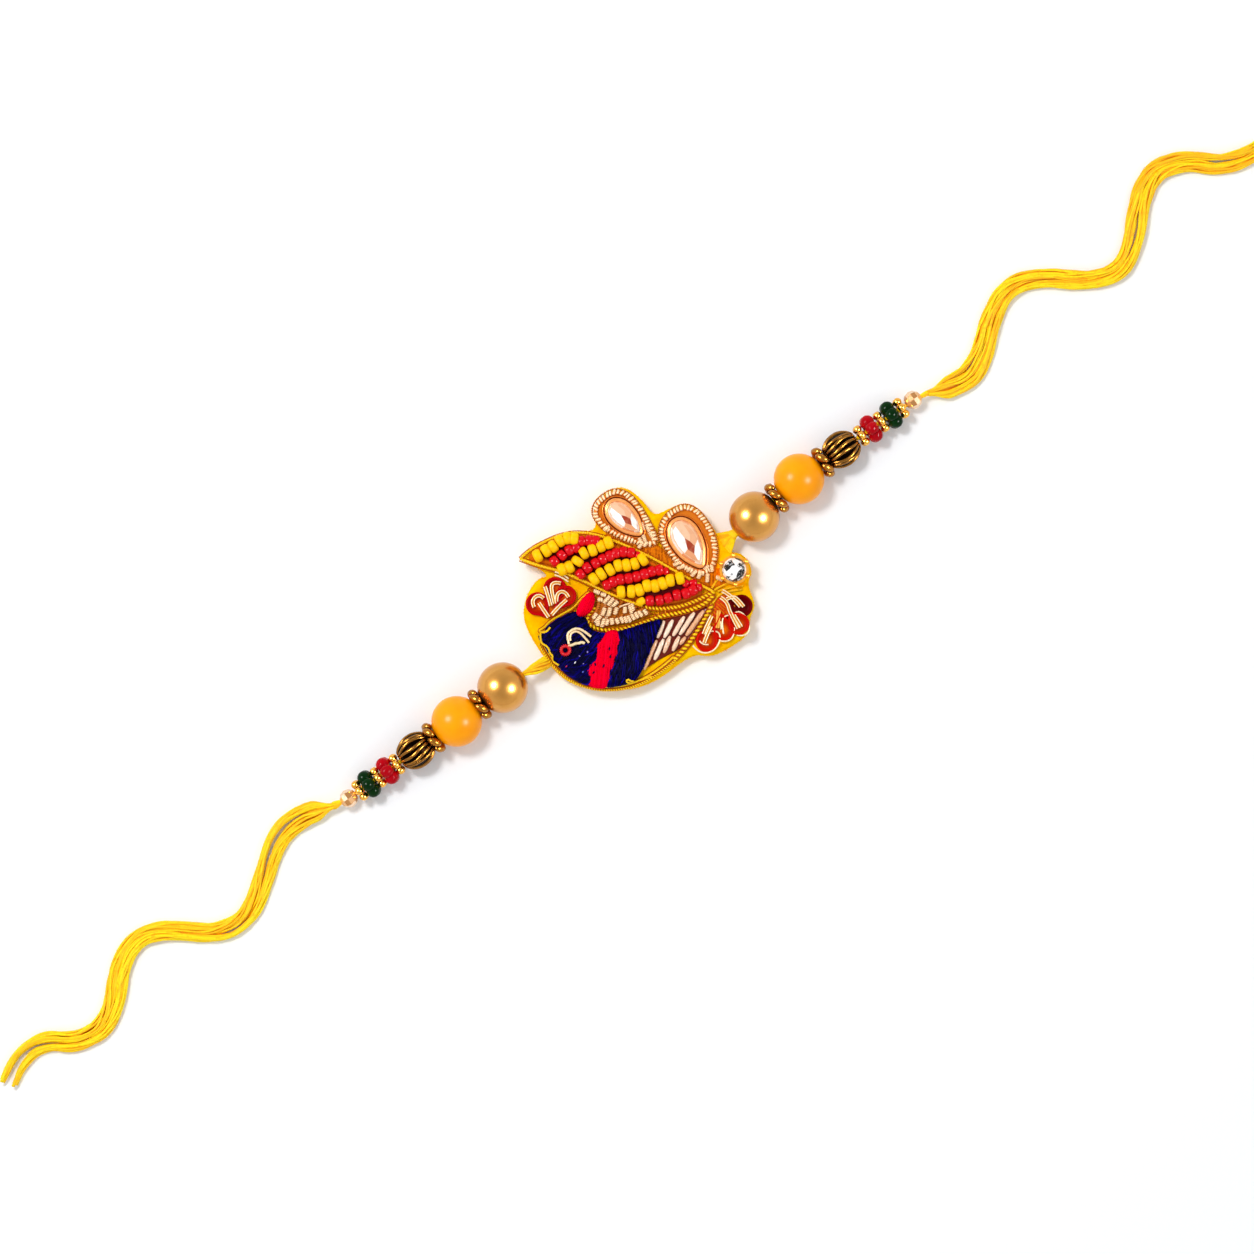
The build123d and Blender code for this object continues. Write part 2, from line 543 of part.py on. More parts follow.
def build():
    pieces = {}
    routes = {row.name: thread_route(row) for row in BEAD_STRINGS}
    pockets = [tube(route, THREAD_DIAMETER + 2 * SEAM) for route in routes.values()]
    pieces["base_felt"] = base_felt(pockets)
    for name, points in (("head_pad", HEAD_PAD), ("body_pad", BODY_PAD), ("red_stripe", RED_STRIPE),
                         ("red_leaf", RED_LEAF), ("brim_crescent", BRIM_CRESCENT)):
        pieces[name] = crowned(outline(on_motif(points)), ON_BASE, PAD_THICKNESS, PAD_CROWN)
    pieces["bead_panel"] = bead_panel()
    for name, points, diameter, close in (
            ("panel_border", LEAF_BORDER, LEAF_CORD, True),
            ("brim_border", BRIM_BORDER, BRIM_CORD, False),
            ("body_border", BODY_BORDER, BODY_CORD, False),
            ("top_border", TOP_BORDER, LEAF_CORD, False),
            ("upper_frame", UPPER_FRAME, COIL_CORD, True),
            ("lower_frame", LOWER_FRAME, COIL_CORD, True)):
        pieces[name] = tube(on_motif(points, ON_BASE + diameter / 2), diameter, close)
    pieces["bugle_beads"] = bugle_beads()
    pieces["upper_stone"], pieces["upper_setting"] = drop_pieces(
        UPPER_DROP, UPPER_STONE_RADIUS, UPPER_STONE_REACH)
    pieces["lower_stone"], pieces["lower_setting"] = drop_pieces(
        LOWER_DROP, LOWER_STONE_RADIUS, LOWER_STONE_REACH)
    pieces["round_stone"], pieces["round_setting"] = round_pieces()
    for side, rows in (("left", LEFT_PETALS), ("right", RIGHT_PETALS)):
        for number, solid in enumerate(petals(rows), 1):
            pieces["%s_petal_%d" % (side, number)] = solid
    pieces["left_stamens"] = stamens(LEFT_STAMENS)
    pieces["right_stamens"] = stamens(RIGHT_STAMENS)
    on_pad = ON_BASE + PAD_THICKNESS + SEAM + WIRE / 2
    pieces["eye_loop"] = tube(on_motif(EYE_LOOP, on_pad), WIRE)
    pieces["eye_ring"] = Pos(*on_motif([EYE_RING], on_pad)[0]) * Torus(EYE_RING_DIAMETER / 2, WIRE / 2)
    for row in BEAD_STRINGS:
        pieces.update(string_beads(row))
        pieces[row.name + "_bead_thread"] = tube(routes[row.name], THREAD_DIAMETER)
        tail = tail_route(row)
        pieces[row.name + "_tail"] = tube(tail, TAIL_DIAMETER)
        report_radii(row.name + " tail", tail, TAIL_DIAMETER)
        report_radii(row.name + " thread", routes[row.name], THREAD_DIAMETER)
        line = soft_line(tail)
        section = math.pi * TAIL_RADIUS ** 2
        print(row.name, "tail length %.1f, volume %.2f, section times length %.2f" % (
            line.length, pieces[row.name + "_tail"].volume, section * line.length))
    return pieces


os.makedirs("parts", exist_ok=True)
for node, shape in build().items():
    export_step(shape, "parts/%s.step" % node)
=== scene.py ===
# %% [markdown]
# A rakhi is a thread bracelet: a padded, embroidered motif in the middle, a few beads on each side
# of it and a soft bundle of yellow thread at each end. This lesson dresses a finished CAD model of
# one. The CAD gives every piece its size and place. Blender adds what a CAD solid can't show:
# thread, stitches, seed beads, coiled wire, facets and finishes.
# The model comes in as a fixed frame, so a new piece only has to use the same coordinates.

# %% Load the CAD model
import math

import bmesh
import bpy
import numpy as np
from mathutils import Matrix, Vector
from mathutils.geometry import delaunay_2d_cdt


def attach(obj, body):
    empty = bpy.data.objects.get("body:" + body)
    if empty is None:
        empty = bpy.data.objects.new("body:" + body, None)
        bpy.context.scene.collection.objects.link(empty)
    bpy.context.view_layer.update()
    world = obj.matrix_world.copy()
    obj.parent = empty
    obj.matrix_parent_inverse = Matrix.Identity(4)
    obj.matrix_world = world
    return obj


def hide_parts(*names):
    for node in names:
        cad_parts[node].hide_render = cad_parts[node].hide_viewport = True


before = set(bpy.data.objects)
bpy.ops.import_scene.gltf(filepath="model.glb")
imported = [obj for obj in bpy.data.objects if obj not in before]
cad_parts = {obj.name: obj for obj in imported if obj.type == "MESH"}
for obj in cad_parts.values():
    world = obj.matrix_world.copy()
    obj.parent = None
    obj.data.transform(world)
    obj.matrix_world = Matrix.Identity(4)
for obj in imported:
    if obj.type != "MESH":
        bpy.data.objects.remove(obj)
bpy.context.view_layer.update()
MM = 0.001
rng = np.random.default_rng(11)

# %% [markdown]
# The photograph looks straight down, and the string of beads runs 35 degrees up to the right. In the
# model the string lies along X, so the camera is turned by that angle instead of the object. A long
# lens far away keeps the beads at the ends as round as those in the middle.

# %% Camera
TURN = math.radians(35)
VIEW_WIDTH = 196.9 * MM
VIEW_CENTRE = (-2.9 * MM, -3.3 * MM)
BEAD_LEVEL = 4 * MM
LENS = 200.0
NEAREST_SEEN = 0.01

camera_data = bpy.data.cameras.new("camera")
camera_data.lens = LENS
camera_data.clip_start = NEAREST_SEEN
camera = bpy.data.objects.new("camera", camera_data)
distance = VIEW_WIDTH * LENS / camera_data.sensor_width
camera.location = (*VIEW_CENTRE, BEAD_LEVEL + distance)
camera.rotation_euler = (0, 0, -TURN)
bpy.context.scene.collection.objects.link(camera)
bpy.context.scene.camera = camera
RIGHT = Vector((math.cos(TURN), -math.sin(TURN), 0))
UP = Vector((math.sin(TURN), math.cos(TURN), 0))
print("camera", round(distance, 3), "m above the beads")

# %% [markdown]
# Light is a studio set. One lamp from the upper left lights everything and throws the shadow to the
# lower right. It is hidden from reflections. Two round softboxes, left and right, do the opposite:
# they only show in reflections, as the pair of small highlights on every bead. Splitting the work
# this way lets the shadow and the highlights be set apart from each other. The world stands for the
# room, which metal mirrors: bright walls all round, and a darker ceiling where the camera would hang.

# %% Lights
SOFTBOX_TILT = math.radians(41)
SOFTBOX = {"distance": 0.7, "size": 0.25, "power": 7.0, "glossy": True}
SOFTBOX_PLACES = [("softbox_left", -1, 0.25), ("softbox_right", 1, -0.12)]
KEY_WAY = (-0.36, 0.34)
KEY = {"distance": 0.8, "size": 0.17, "power": 3.1, "glossy": False}
ROOM_FADE = {"From Min": 0.35, "From Max": 0.98, "To Min": 0.9, "To Max": 0.55}


def lamp(name, direction, distance, size, power, glossy):
    """A round area light that shows in reflections only, or lights surfaces only."""
    data = bpy.data.lights.new(name, "AREA")
    data.shape = "DISK"
    data.size = size
    data.energy = power
    light = bpy.data.objects.new(name, data)
    way = Vector(direction).normalized()
    light.location = way * distance
    light.rotation_mode = "QUATERNION"
    light.rotation_quaternion = way.to_track_quat("Z", "Y")
    light.visible_glossy = glossy
    light.visible_diffuse = not glossy
    bpy.context.scene.collection.objects.link(light)


for name, side, lift in SOFTBOX_PLACES:
    way = (RIGHT * side + UP * lift) * math.sin(SOFTBOX_TILT) + Vector((0, 0, math.cos(SOFTBOX_TILT)))
    lamp(name, way, **SOFTBOX)
lamp("key", RIGHT * KEY_WAY[0] + UP * KEY_WAY[1] + Vector((0, 0, 1)), **KEY)
world = bpy.data.worlds.new("room")
world.use_nodes = True
room = world.node_tree
seen_way = room.nodes.new("ShaderNodeTexCoord")
height = room.nodes.new("ShaderNodeSeparateXYZ")
fade = room.nodes.new("ShaderNodeMapRange")
for key, value in ROOM_FADE.items():
    fade.inputs[key].default_value = value
room.links.new(seen_way.outputs["Generated"], height.inputs[0])
room.links.new(height.outputs[2], fade.inputs["Value"])
room.links.new(fade.outputs[0], room.nodes["Background"].inputs["Strength"])
room.nodes["Background"].inputs["Color"].default_value = (1, 1, 1, 1)
bpy.context.scene.world = world
bpy.context.scene.view_settings.view_transform = "Standard"
print(len(bpy.data.lights), "lights, and a room from", ROOM_FADE["To Min"], "to", ROOM_FADE["To Max"])

# %% [markdown]
# A finish is a small network of shader nodes. Written as nodes it is long, so two helpers turn it
# into sums. A Value wraps one socket: adding, subtracting or multiplying Values makes Math nodes. A
# Paint makes every other node from its type, its settings and the values of its sockets.

# %% Shader helpers
class Value:
    """A number or colour in a material, which can be used in sums."""

    def __init__(self, paint, socket):
        self.paint = paint
        self.socket = socket

    def maths(self, operation, first, second):
        return self.paint.node("Math", {"operation": operation}, {0: first, 1: second})

    def __add__(self, other):
        return self.maths("ADD", self, other)

    def __radd__(self, other):
        return self.maths("ADD", other, self)

    def __sub__(self, other):
        return self.maths("SUBTRACT", self, other)

    def __rsub__(self, other):
        return self.maths("SUBTRACT", other, self)

    def __mul__(self, other):
        return self.maths("MULTIPLY", self, other)

    def __rmul__(self, other):
        return self.maths("MULTIPLY", other, self)

    def ramp(self, low, high):
        """0 below low, 1 above high, and an even curve between them."""
        return self.paint.node(
            "MapRange", {"interpolation_type": "SMOOTHSTEP"},
            {"Value": self, "From Min": low, "From Max": high})


class Paint:
    """One material's nodes."""

    def __init__(self, name):
        self.material = bpy.data.materials.new(name)
        self.material.use_nodes = True
        self.tree = self.material.node_tree
        self.shader = self.tree.nodes["Principled BSDF"]

    def node(self, kind, settings, inputs, output=0):
        """Makes a node of that type and gives back one of its outputs."""
        made = self.tree.nodes.new("ShaderNode" + kind)
        for key, value in settings.items():
            setattr(made, key, value)
        self.connect(made, inputs)
        return Value(self, made.outputs[output])

    def connect(self, made, inputs):
        """Links a node's sockets to Values, and sets the others."""
        for key, value in inputs.items():
            socket = made.inputs[key]
            if isinstance(value, Value):
                self.tree.links.new(value.socket, socket)
            elif isinstance(value, tuple) and len(value) == 3 and socket.type == "RGBA":
                socket.default_value = (*value, 1)
            else:
                socket.default_value = value

    def place(self):
        """The point on the object, in millimetres."""
        point = self.node("TexCoord", {}, {}, "Object")
        return self.node("VectorMath", {"operation": "MULTIPLY"}, {0: point, 1: (1000, 1000, 1000)})

    def tint(self):
        """The number from 0 to 1 that each strand, bead or facet was given when it was made."""
        return self.node("Attribute", {"attribute_name": "tint"}, {}, "Fac")

    def run(self):
        """Millimetres along a strand, or in from a pad's edge."""
        return self.node("Attribute", {"attribute_name": "run"}, {}, "Fac")

    def noise(self, size, detail=2.0, rough=0.5):
        """Soft blotches about size millimetres across, from 0 to 1."""
        return self.node("TexNoise", {}, {
            "Vector": self.place(), "Scale": 1 / size, "Detail": detail, "Roughness": rough})

    def mix(self, mask, first, second):
        """first where the mask is 0, second where it is 1."""
        return self.node("Mix", {"data_type": "RGBA"}, {0: mask, 6: first, 7: second}, 2)

    def bump(self, height, depth):
        """Relief of that many millimetres where height goes from 0 to 1."""
        return self.node("Bump", {}, {"Height": height, "Distance": depth * MM, "Strength": 1.0})

    def recess(self, reach):
        """1 in the open and 0 deep in a crevice that is about reach millimetres wide."""
        return self.node(
            "AmbientOcclusion", {"samples": 8, "only_local": True}, {"Distance": reach * MM}, "AO")

    def finish(self, **sockets):
        """Gives the shader its values. A name's underscores are the socket's spaces."""
        self.connect(self.shader, {key.replace("_", " "): value for key, value in sockets.items()})
        print("finish", self.material.name, "has", len(self.tree.nodes), "nodes")
        return self.material


def srgb(code):
    """A screen colour such as F5B400 as the linear numbers that the shader takes."""
    parts = [int(code[i:i + 2], 16) / 255 for i in (0, 2, 4)]
    return tuple(p / 12.92 if p <= 0.04045 else ((p + 0.055) / 1.055) ** 2.4 for p in parts)


print("F5B400 in linear numbers:", [round(part, 3) for part in srgb("F5B400")])

# %% [markdown]
# The floor is plain white paper, a hair below the bracelet.

# %% Floor
FLOOR_HALF = 1.5
FLOOR_LEVEL = -0.02 * MM
floor_mesh = bpy.data.meshes.new("floor")
corners = [(x * FLOOR_HALF, y * FLOOR_HALF, FLOOR_LEVEL) for x, y in ((-1, -1), (1, -1), (1, 1), (-1, 1))]
floor_mesh.from_pydata(corners, [], [(0, 1, 2, 3)])
floor = bpy.data.objects.new("floor", floor_mesh)
bpy.context.scene.collection.objects.link(floor)
paper = Paint("white_paper")
grain = paper.noise(0.6)
paper.finish(
    Base_Color=paper.mix(grain, (0.9, 0.925, 0.955), (0.925, 0.95, 0.98)),
    Roughness=0.9, Normal=paper.bump(grain, 0.004))
floor_mesh.materials.append(paper.material)

# %% [markdown]
# Most of a rakhi is line work: thread, twisted cord, coiled wire. All of it can be a tube that
# follows a line. A NURBS curve turns a few chosen points into the smooth line. Its points are then
# read back and spaced evenly, so that everything laid along it is even too.

# %% Smooth lines
def line_length(line):
    return np.linalg.norm(np.diff(line, axis=0), axis=1).sum()


def run_along(line):
    """How far along the line each of its points is."""
    return np.concatenate([[0], np.cumsum(np.linalg.norm(np.diff(line, axis=0), axis=1))])


def even(line, step, closed=False):
    """The same line with points about step apart."""
    line = np.asarray(line, float)
    if closed:
        line = np.vstack([line, line[:1]])
    run = run_along(line)
    at = np.linspace(0, run[-1], max(3, int(round(run[-1] / step)) + 1))
    if closed:
        at = at[:-1]
    return np.stack([np.interp(at, run, line[:, k]) for k in range(3)], axis=1)


def soft_line(points, step=0.2, level=None, closed=False):
    """A smooth line through the neighbourhood of a few points, in the points' own unit."""
    if level is not None:
        points = [(x, y, level) for x, y in points]
    curve = bpy.data.curves.new("guide", "CURVE")
    curve.dimensions = "3D"
    spline = curve.splines.new("NURBS")
    spline.points.add(len(points) - 1)
    for point, place in zip(spline.points, points):
        point.co = (*place, 1)
    spline.order_u = 3
    spline.use_cyclic_u = closed
    spline.use_endpoint_u = not closed
    guide = bpy.data.objects.new("guide", curve)
    mesh = bpy.data.meshes.new_from_object(guide)
    line = np.array([vertex.co for vertex in mesh.vertices], float)
    bpy.data.meshes.remove(mesh)
    bpy.data.curves.remove(curve)
    return even(line, step, closed)


bend = soft_line([(0, 0), (1, 1), (2, 0)], 0.2, 0)
print("a bend through three points has", len(bend), "even points")

# %% [markdown]
# A tube is rings of vertices set round the line, and a wire coil is a tube round a line that winds
# round another line. Both need to know, at each point, the way ahead, to the left and up.

# %% Tubes and coils
def unit(vectors):
    """The same vectors, each one long."""
    return vectors / np.maximum(np.linalg.norm(vectors, axis=-1, keepdims=True), 1e-12)


def ways(line, closed=False):
    """At each point of a line: the way ahead, the way to the left and the way up."""
    if closed:
        ahead = np.roll(line, -1, 0) - np.roll(line, 1, 0)
    else:
        ahead = np.gradient(line, axis=0)
    ahead = unit(ahead)
    left = unit(np.cross((0.0, 0.0, 1.0), ahead))
    return ahead, left, np.cross(ahead, left)


def tube(line, radius, sides=6, closed=False, normal=None, flat=1.0):
    """Rings of vertices along a line: points, faces, and how far along each point is."""
    ahead, left, up = ways(line, closed)
    if normal is not None:
        left = unit(normal - ahead * (normal * ahead).sum(1, keepdims=True))
        up = np.cross(ahead, left)
    count = len(line)
    angle = np.arange(sides) * 2 * math.pi / sides
    reach = np.broadcast_to(np.asarray(radius, float), (count,))[:, None, None]
    rings = line[:, None] + reach * (
        np.cos(angle)[None, :, None] * left[:, None] + flat * np.sin(angle)[None, :, None] * up[:, None])
    points = rings.reshape(-1, 3)
    run = np.repeat(run_along(line), sides)
    rows = np.arange(count if closed else count - 1)[:, None] * sides
    turn = np.arange(sides)[None]
    after = (turn + 1) % sides
    size = count * sides
    faces = np.stack([
        rows + turn, rows + after, (rows + after + sides) % size, (rows + turn + sides) % size], -1)
    faces = [tuple(f) for f in faces.reshape(-1, 4).tolist()]
    if not closed:
        faces.append(tuple(range(sides - 1, -1, -1)))
        faces.append(tuple(range(size - sides, size)))
    return points, faces, run


def winding(line, radius, pitch, starts, closed, per_turn):
    """Lines that wind round a line, with the way out from it at each point."""
    fine = even(line, pitch / per_turn, closed)
    _, left, up = ways(fine, closed)
    turns = max(1, round(line_length(line) / pitch))
    share = np.arange(len(fine)) / (len(fine) if closed else len(fine) - 1)
    for i in range(starts):
        angle = 2 * math.pi * (turns * share + i / starts)[:, None]
        out = np.cos(angle) * left + np.sin(angle) * up
        yield fine + radius * out, out


def skin(rows, sides):
    """The faces over that many rings of vertices, closed at both ends."""
    faces = [
        (row * sides + i, row * sides + (i + 1) % sides, (row + 1) * sides + (i + 1) % sides,
         (row + 1) * sides + i) for row in range(rows - 1) for i in range(sides)]
    return faces + [tuple(range(sides - 1, -1, -1)), tuple(range((rows - 1) * sides, rows * sides))]


print("a tube of 3 rings of 6 points has", len(skin(3, 6)), "faces")

# %% [markdown]
# Many strands are gathered in one Heap, because one mesh of a thousand strands is far quicker than a
# thousand objects. Each shape brings a tint, a number that its finish can read.

# %% Heaps of small shapes
POLE_GAP = 0.14


class Heap:
    """Many small shapes gathered into one mesh. Everything in it is in millimetres."""

    def __init__(self):
        self.points = []
        self.faces = []
        self.tints = []
        self.runs = []
        self.total = 0

    def add(self, points, faces, tint, run=0.0):
        """Puts in one shape, with its tint and its run."""
        points = np.asarray(points, float)
        start = self.total
        self.faces.extend(tuple(i + start for i in face) for face in faces)
        self.points.append(points)
        self.tints.append(np.broadcast_to(np.asarray(tint, float), (len(points),)))
        self.runs.append(np.broadcast_to(np.asarray(run, float), (len(points),)))
        self.total += len(points)

    def strand(self, line, radius, tint, sides=6, closed=False, normal=None, flat=1.0):
        """A tube along a line."""
        points, faces, run = tube(line, radius, sides, closed, normal, flat)
        self.add(points, faces, tint, run)

    def turned(self, centre, way, profile, sides, tint):
        """A shape turned on a lathe. profile gives places along its way and the radii there."""
        way = unit(np.asarray(way, float))
        side = unit(np.cross((0.0, 0.0, 1.0), way))
        spin = np.arange(sides)[:, None] * 2 * math.pi / sides
        rim = np.cos(spin) * side + np.sin(spin) * np.cross(way, side)
        points = np.vstack([np.asarray(centre) + place * way + radius * rim for place, radius in profile])
        self.add(points, skin(len(profile), sides), tint)

    def lump(self, centre, axes, tint, rows=9, sides=14):
        """A rounded lump. The rows of axes are its three half-widths."""
        polar = np.linspace(POLE_GAP, math.pi - POLE_GAP, rows)
        spin = np.arange(sides) * 2 * math.pi / sides
        ball = np.stack([
            np.repeat(-np.cos(polar), sides), np.outer(np.sin(polar), np.cos(spin)).ravel(),
            np.outer(np.sin(polar), np.sin(spin)).ravel()], 1)
        self.add(ball @ axes + centre, skin(rows, sides), tint)

    def coil(self, line, radius, wire, pitch, tint, sides, closed=False, starts=1, spread=0.0,
             per_turn=10):
        """Wire wound round a line, or a rope if it has several starts."""
        for wound, out in winding(line, radius, pitch, starts, closed, per_turn):
            shade = tint + spread * (rng.random() - 0.5)
            self.strand(wound, wire, shade, sides, closed, out)

    def piece(self, name, material, slot, replaces=(), sharp=False):
        """Makes the object, which rides on the bracelet's one body."""
        mesh = bpy.data.meshes.new(name)
        points = np.vstack(self.points) * MM
        mesh.from_pydata(points, [], self.faces)
        for label, values in (("tint", self.tints), ("run", self.runs)):
            layer = mesh.attributes.new(label, "FLOAT", "POINT")
            layer.data.foreach_set("value", np.concatenate(values).astype(np.float32))
        mesh.polygons.foreach_set("use_smooth", [not sharp] * len(mesh.polygons))
        mesh.materials.append(material)
        mesh.update()
        made = bpy.data.objects.new(name, mesh)
        bpy.context.scene.collection.objects.link(made)
        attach(made, "root")
        if replaces:
            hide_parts(*replaces)
        triangles = sum(len(face) - 2 for face in self.faces)
        print(name, "has", triangles, "triangles")
        return made


# %% [markdown]
# Yellow thread is a bright, slightly shiny cotton. Its colour drifts from strand to strand, and it is
# painted an orange shade where strands crowd together. Short orange dashes follow each strand, where its
# plies turn over: that noise is read along the strand's own length, so it bends with the thread.

# %% Thread finish
THREAD_LIGHT = srgb("FFE400")
THREAD_DEEP = srgb("FFB400")
THREAD_SHADOW = srgb("FF8800")
FIBRE = 0.09
STRANDS_APART = 37

paint = Paint("yellow_thread")
fibres = paint.noise(FIBRE, 2.0, 0.6)
drift = paint.noise(1.4)
place = paint.node("CombineXYZ", {}, {0: paint.run(), 1: paint.tint() * STRANDS_APART})
dashes = paint.node("TexNoise", {}, {"Vector": place, "Scale": 0.9, "Detail": 2.0, "Roughness": 0.6})
strand_tone = (paint.tint() * 0.7 + drift * 0.4 - 0.15).ramp(0.05, 0.95)
colour = paint.mix(strand_tone, THREAD_LIGHT, THREAD_DEEP)
colour = paint.mix(dashes.ramp(0.5, 0.72) * 0.65, colour, THREAD_DEEP)
# Painted shade: the crevices between strands turn orange.
colour = paint.mix(paint.recess(0.7).ramp(0.0, 0.5), THREAD_SHADOW, colour)
yellow_thread = paint.finish(
    Base_Color=colour, Roughness=0.6, Normal=paint.bump(fibres, FIBRE * 0.35), Specular_IOR_Level=0.15)

# %% [markdown]
# The two tails come first, because they reach furthest and lie free. Each is a limp bundle that
# leaves the last bead and lies on the table in loose waves, with nothing tied at its end. The route
# is the CAD's own: its points are the control points of a NURBS line, which gives one smooth curve.
# The bundle lies flat, as two cords side by side. Their strands run nearly straight, and a parting
# wanders between the cords: here it opens, there one cord leans on the other, and it stays open at
# the cut ends.

# %% Tail routes, in metres
TAILS = {
    "left": [
        (-0.05689, 0.00016, 0.00185), (-0.06118, 0.0018, 0.00125), (-0.06718, 0.0015, 0.00125),
        (-0.07658, -0.0064, 0.00125), (-0.08318, -0.00635, 0.00125), (-0.09118, 0.00075, 0.00125),
        (-0.09748, 0.00045, 0.00125), (-0.10488, -0.0077, 0.00125), (-0.11128, -0.0074, 0.00125),
        (-0.11538, -0.0039, 0.00125), (-0.12048, -0.004, 0.00125), (-0.12408, -0.0064, 0.00125)],
    "right": [
        (0.05708, -0.00034, 0.00182), (0.0605, -0.00183, 0.00125), (0.0659, -0.00183, 0.00125),
        (0.0739, 0.00552, 0.00125), (0.0803, 0.00602, 0.00125), (0.089, -0.00148, 0.00125),
        (0.0953, -0.00168, 0.00125), (0.1036, 0.00762, 0.00125), (0.1101, 0.00762, 0.00125),
        (0.1168, 0.00112, 0.00125), (0.1223, 0.00132, 0.00125)]}

# %% Tail strands, in millimetres
# Each row says how far along, how far the parting is from the middle, and how wide it is open there.
PARTINGS = {
    "left": [
        (0, 0, -0.1), (5, 0.35, 0.0), (8, 0.4, 0.5), (14, 0.3, 0.45), (18, 0.0, 0.0), (23, -0.35, 0.0),
        (27, -0.6, 0.4), (31, -0.4, -0.1), (40, 0.0, -0.3), (50, 0.1, -0.2), (58, -0.35, -0.1),
        (64, -0.3, 0.0), (68, 0.0, 0.3), (71, 0.05, 0.8), (78, 0.0, 1.2)],
    "right": [
        (0, 0, -0.1), (5, -0.4, 0.0), (14, -0.5, -0.1), (25, -0.4, 0.0), (34, -0.1, -0.1),
        (42, 0.0, 0.05), (46, -0.1, 0.45), (51, -0.1, 0.0), (59, 0.2, -0.1), (64, 0.45, 0.0),
        (67, 0.45, 0.5), (71, 0.2, 0.0), (78, 0.0, 0.3)]}
OUTER_STRANDS = 13
INNER_STRANDS = 8
STRAND_RADIUS = 0.18
NECK_HALF = 0.5
CORD_HALF = 1.07
GATHER_LENGTH = 3.4
ANY_PHASE = 6


def tail(side, seed):
    """A tail's strands: two flat cords side by side, each of many fine strands."""
    draw = np.random.default_rng(seed)
    route = soft_line(TAILS[side], 0.0004)
    line = route / MM
    across = ways(line)[1] * (-1 if side == "left" else 1)
    along = np.linspace(0, line_length(line), len(line))
    gather = np.clip(along / GATHER_LENGTH, 0, 1)
    gather = gather * gather * (3 - 2 * gather)
    half = NECK_HALF + gather * (CORD_HALF + 0.09 * np.sin(along / 7))
    half = half + 0.25 * np.exp(-((along - 7.5) / 4) ** 2)
    high = 0.34 + 0.2 * gather
    level = line[:, 2] - 0.42 * np.clip(along / 6, 0, 1)
    at, middle, opening = (np.array(column, float) for column in zip(*PARTINGS[side]))
    middle = np.interp(along, at, middle)
    opening = np.interp(along, at, opening)
    heap = Heap()
    for cord in (-1, 1):
        near = middle + cord * opening / 2
        far = cord * half
        centre = (near + far) / 2
        wide = np.abs(far - near) / 2 - 0.16
        for k in range(OUTER_STRANDS + INNER_STRANDS):
            outer = k < OUTER_STRANDS
            ring = 1.0 if outer else 0.5
            swing = 2 * math.pi * k / (OUTER_STRANDS if outer else INNER_STRANDS) + cord * along / 14
            swing = swing + 0.45 * np.sin(along / (2.6 + 2 * draw.random()) + ANY_PHASE * draw.random())
            waver = 0.07 * np.sin(along / (0.9 + 0.5 * draw.random()) + ANY_PHASE * draw.random())
            strand = line + across * (centre + waver + ring * wide * np.cos(swing))[:, None]
            strand[:, 2] = level + ring * high * np.sin(swing) + 0.12 * cord * np.sin(along / 9)
            end = len(line) - int(draw.integers(0, 5))
            radius = (STRAND_RADIUS + 0.04 * draw.random()) * (0.72 + 0.28 * gather[:end])
            radius = radius * (1 + 0.1 * np.sin(along[:end] / 0.8 + ANY_PHASE * draw.random()))
            strand = strand[:end]
            strand[:, 2] = np.maximum(strand[:, 2], radius + 0.02)
            heap.strand(strand, radius, draw.random(), 6)
    made = heap.piece(side + "_tail_thread", yellow_thread, "yellow_thread", [side + "_tail"])


tail("left", 3)
tail("right", 4)

# %% [markdown]
# Between the motif and the last bead the same thread runs through every bead. It shows most in the
# two necks beside the motif: the left one is a short twisted hank, and the right one fans out over
# the edge of the felt. Inside the beads the strands draw together, to fit the bores.

# %% Thread through the beads
LEFT_THREAD = [
    (-15.2, -0.5, 2.2), (-16.6, -0.55, 2.4), (-18.2, -0.45, 3.4), (-19.6, -0.15, 3.95), (-21.5, 0.1, 4.0),
    (-33.3, -0.1, 4.0), (-55.68, -0.3, 2.02), (-56.89, 0.16, 1.85)]
RIGHT_THREAD = [
    (18.6, -1.05, 3.9), (20.0, -0.85, 4.0), (23.4, -0.6, 4.0), (32.56, 0.25, 4.0), (55.9, 0.17, 2.02),
    (57.08, -0.34, 1.82)]
THREAD_STEP = 0.25
IN_BORE = 0.16
RIM_STRANDS = 9
CORE_STRANDS = 4


def bead_thread(points, wide, seed):
    """Twisted strands along a line, spread out to the given width where they leave the beads."""
    draw = np.random.default_rng(seed)
    line = soft_line(points, THREAD_STEP)
    _, left, up = ways(line)
    along = np.arange(len(line)) * THREAD_STEP
    open_air = np.exp(-(np.maximum(along - 2.0, 0) / 2.9) ** 3)
    open_air = open_air + 0.5 * np.exp(-((along - along[-1]) / 1.3) ** 2)
    spread = IN_BORE + (wide - IN_BORE) * open_air
    heap = Heap()
    for k in range(RIM_STRANDS + CORE_STRANDS):
        on_rim = k < RIM_STRANDS
        swing = 2 * math.pi * k / (RIM_STRANDS if on_rim else CORE_STRANDS)
        swing = swing + along / 3.2 + 0.2 * np.sin(along / 2 + k)
        reach = spread * (1 if on_rim else 0.45)
        sway = left * (reach * np.cos(swing))[:, None] + up * (0.6 * reach * np.sin(swing))[:, None]
        heap.strand(line + sway, 0.13 + 0.1 * open_air, draw.random(), 6)
    return heap


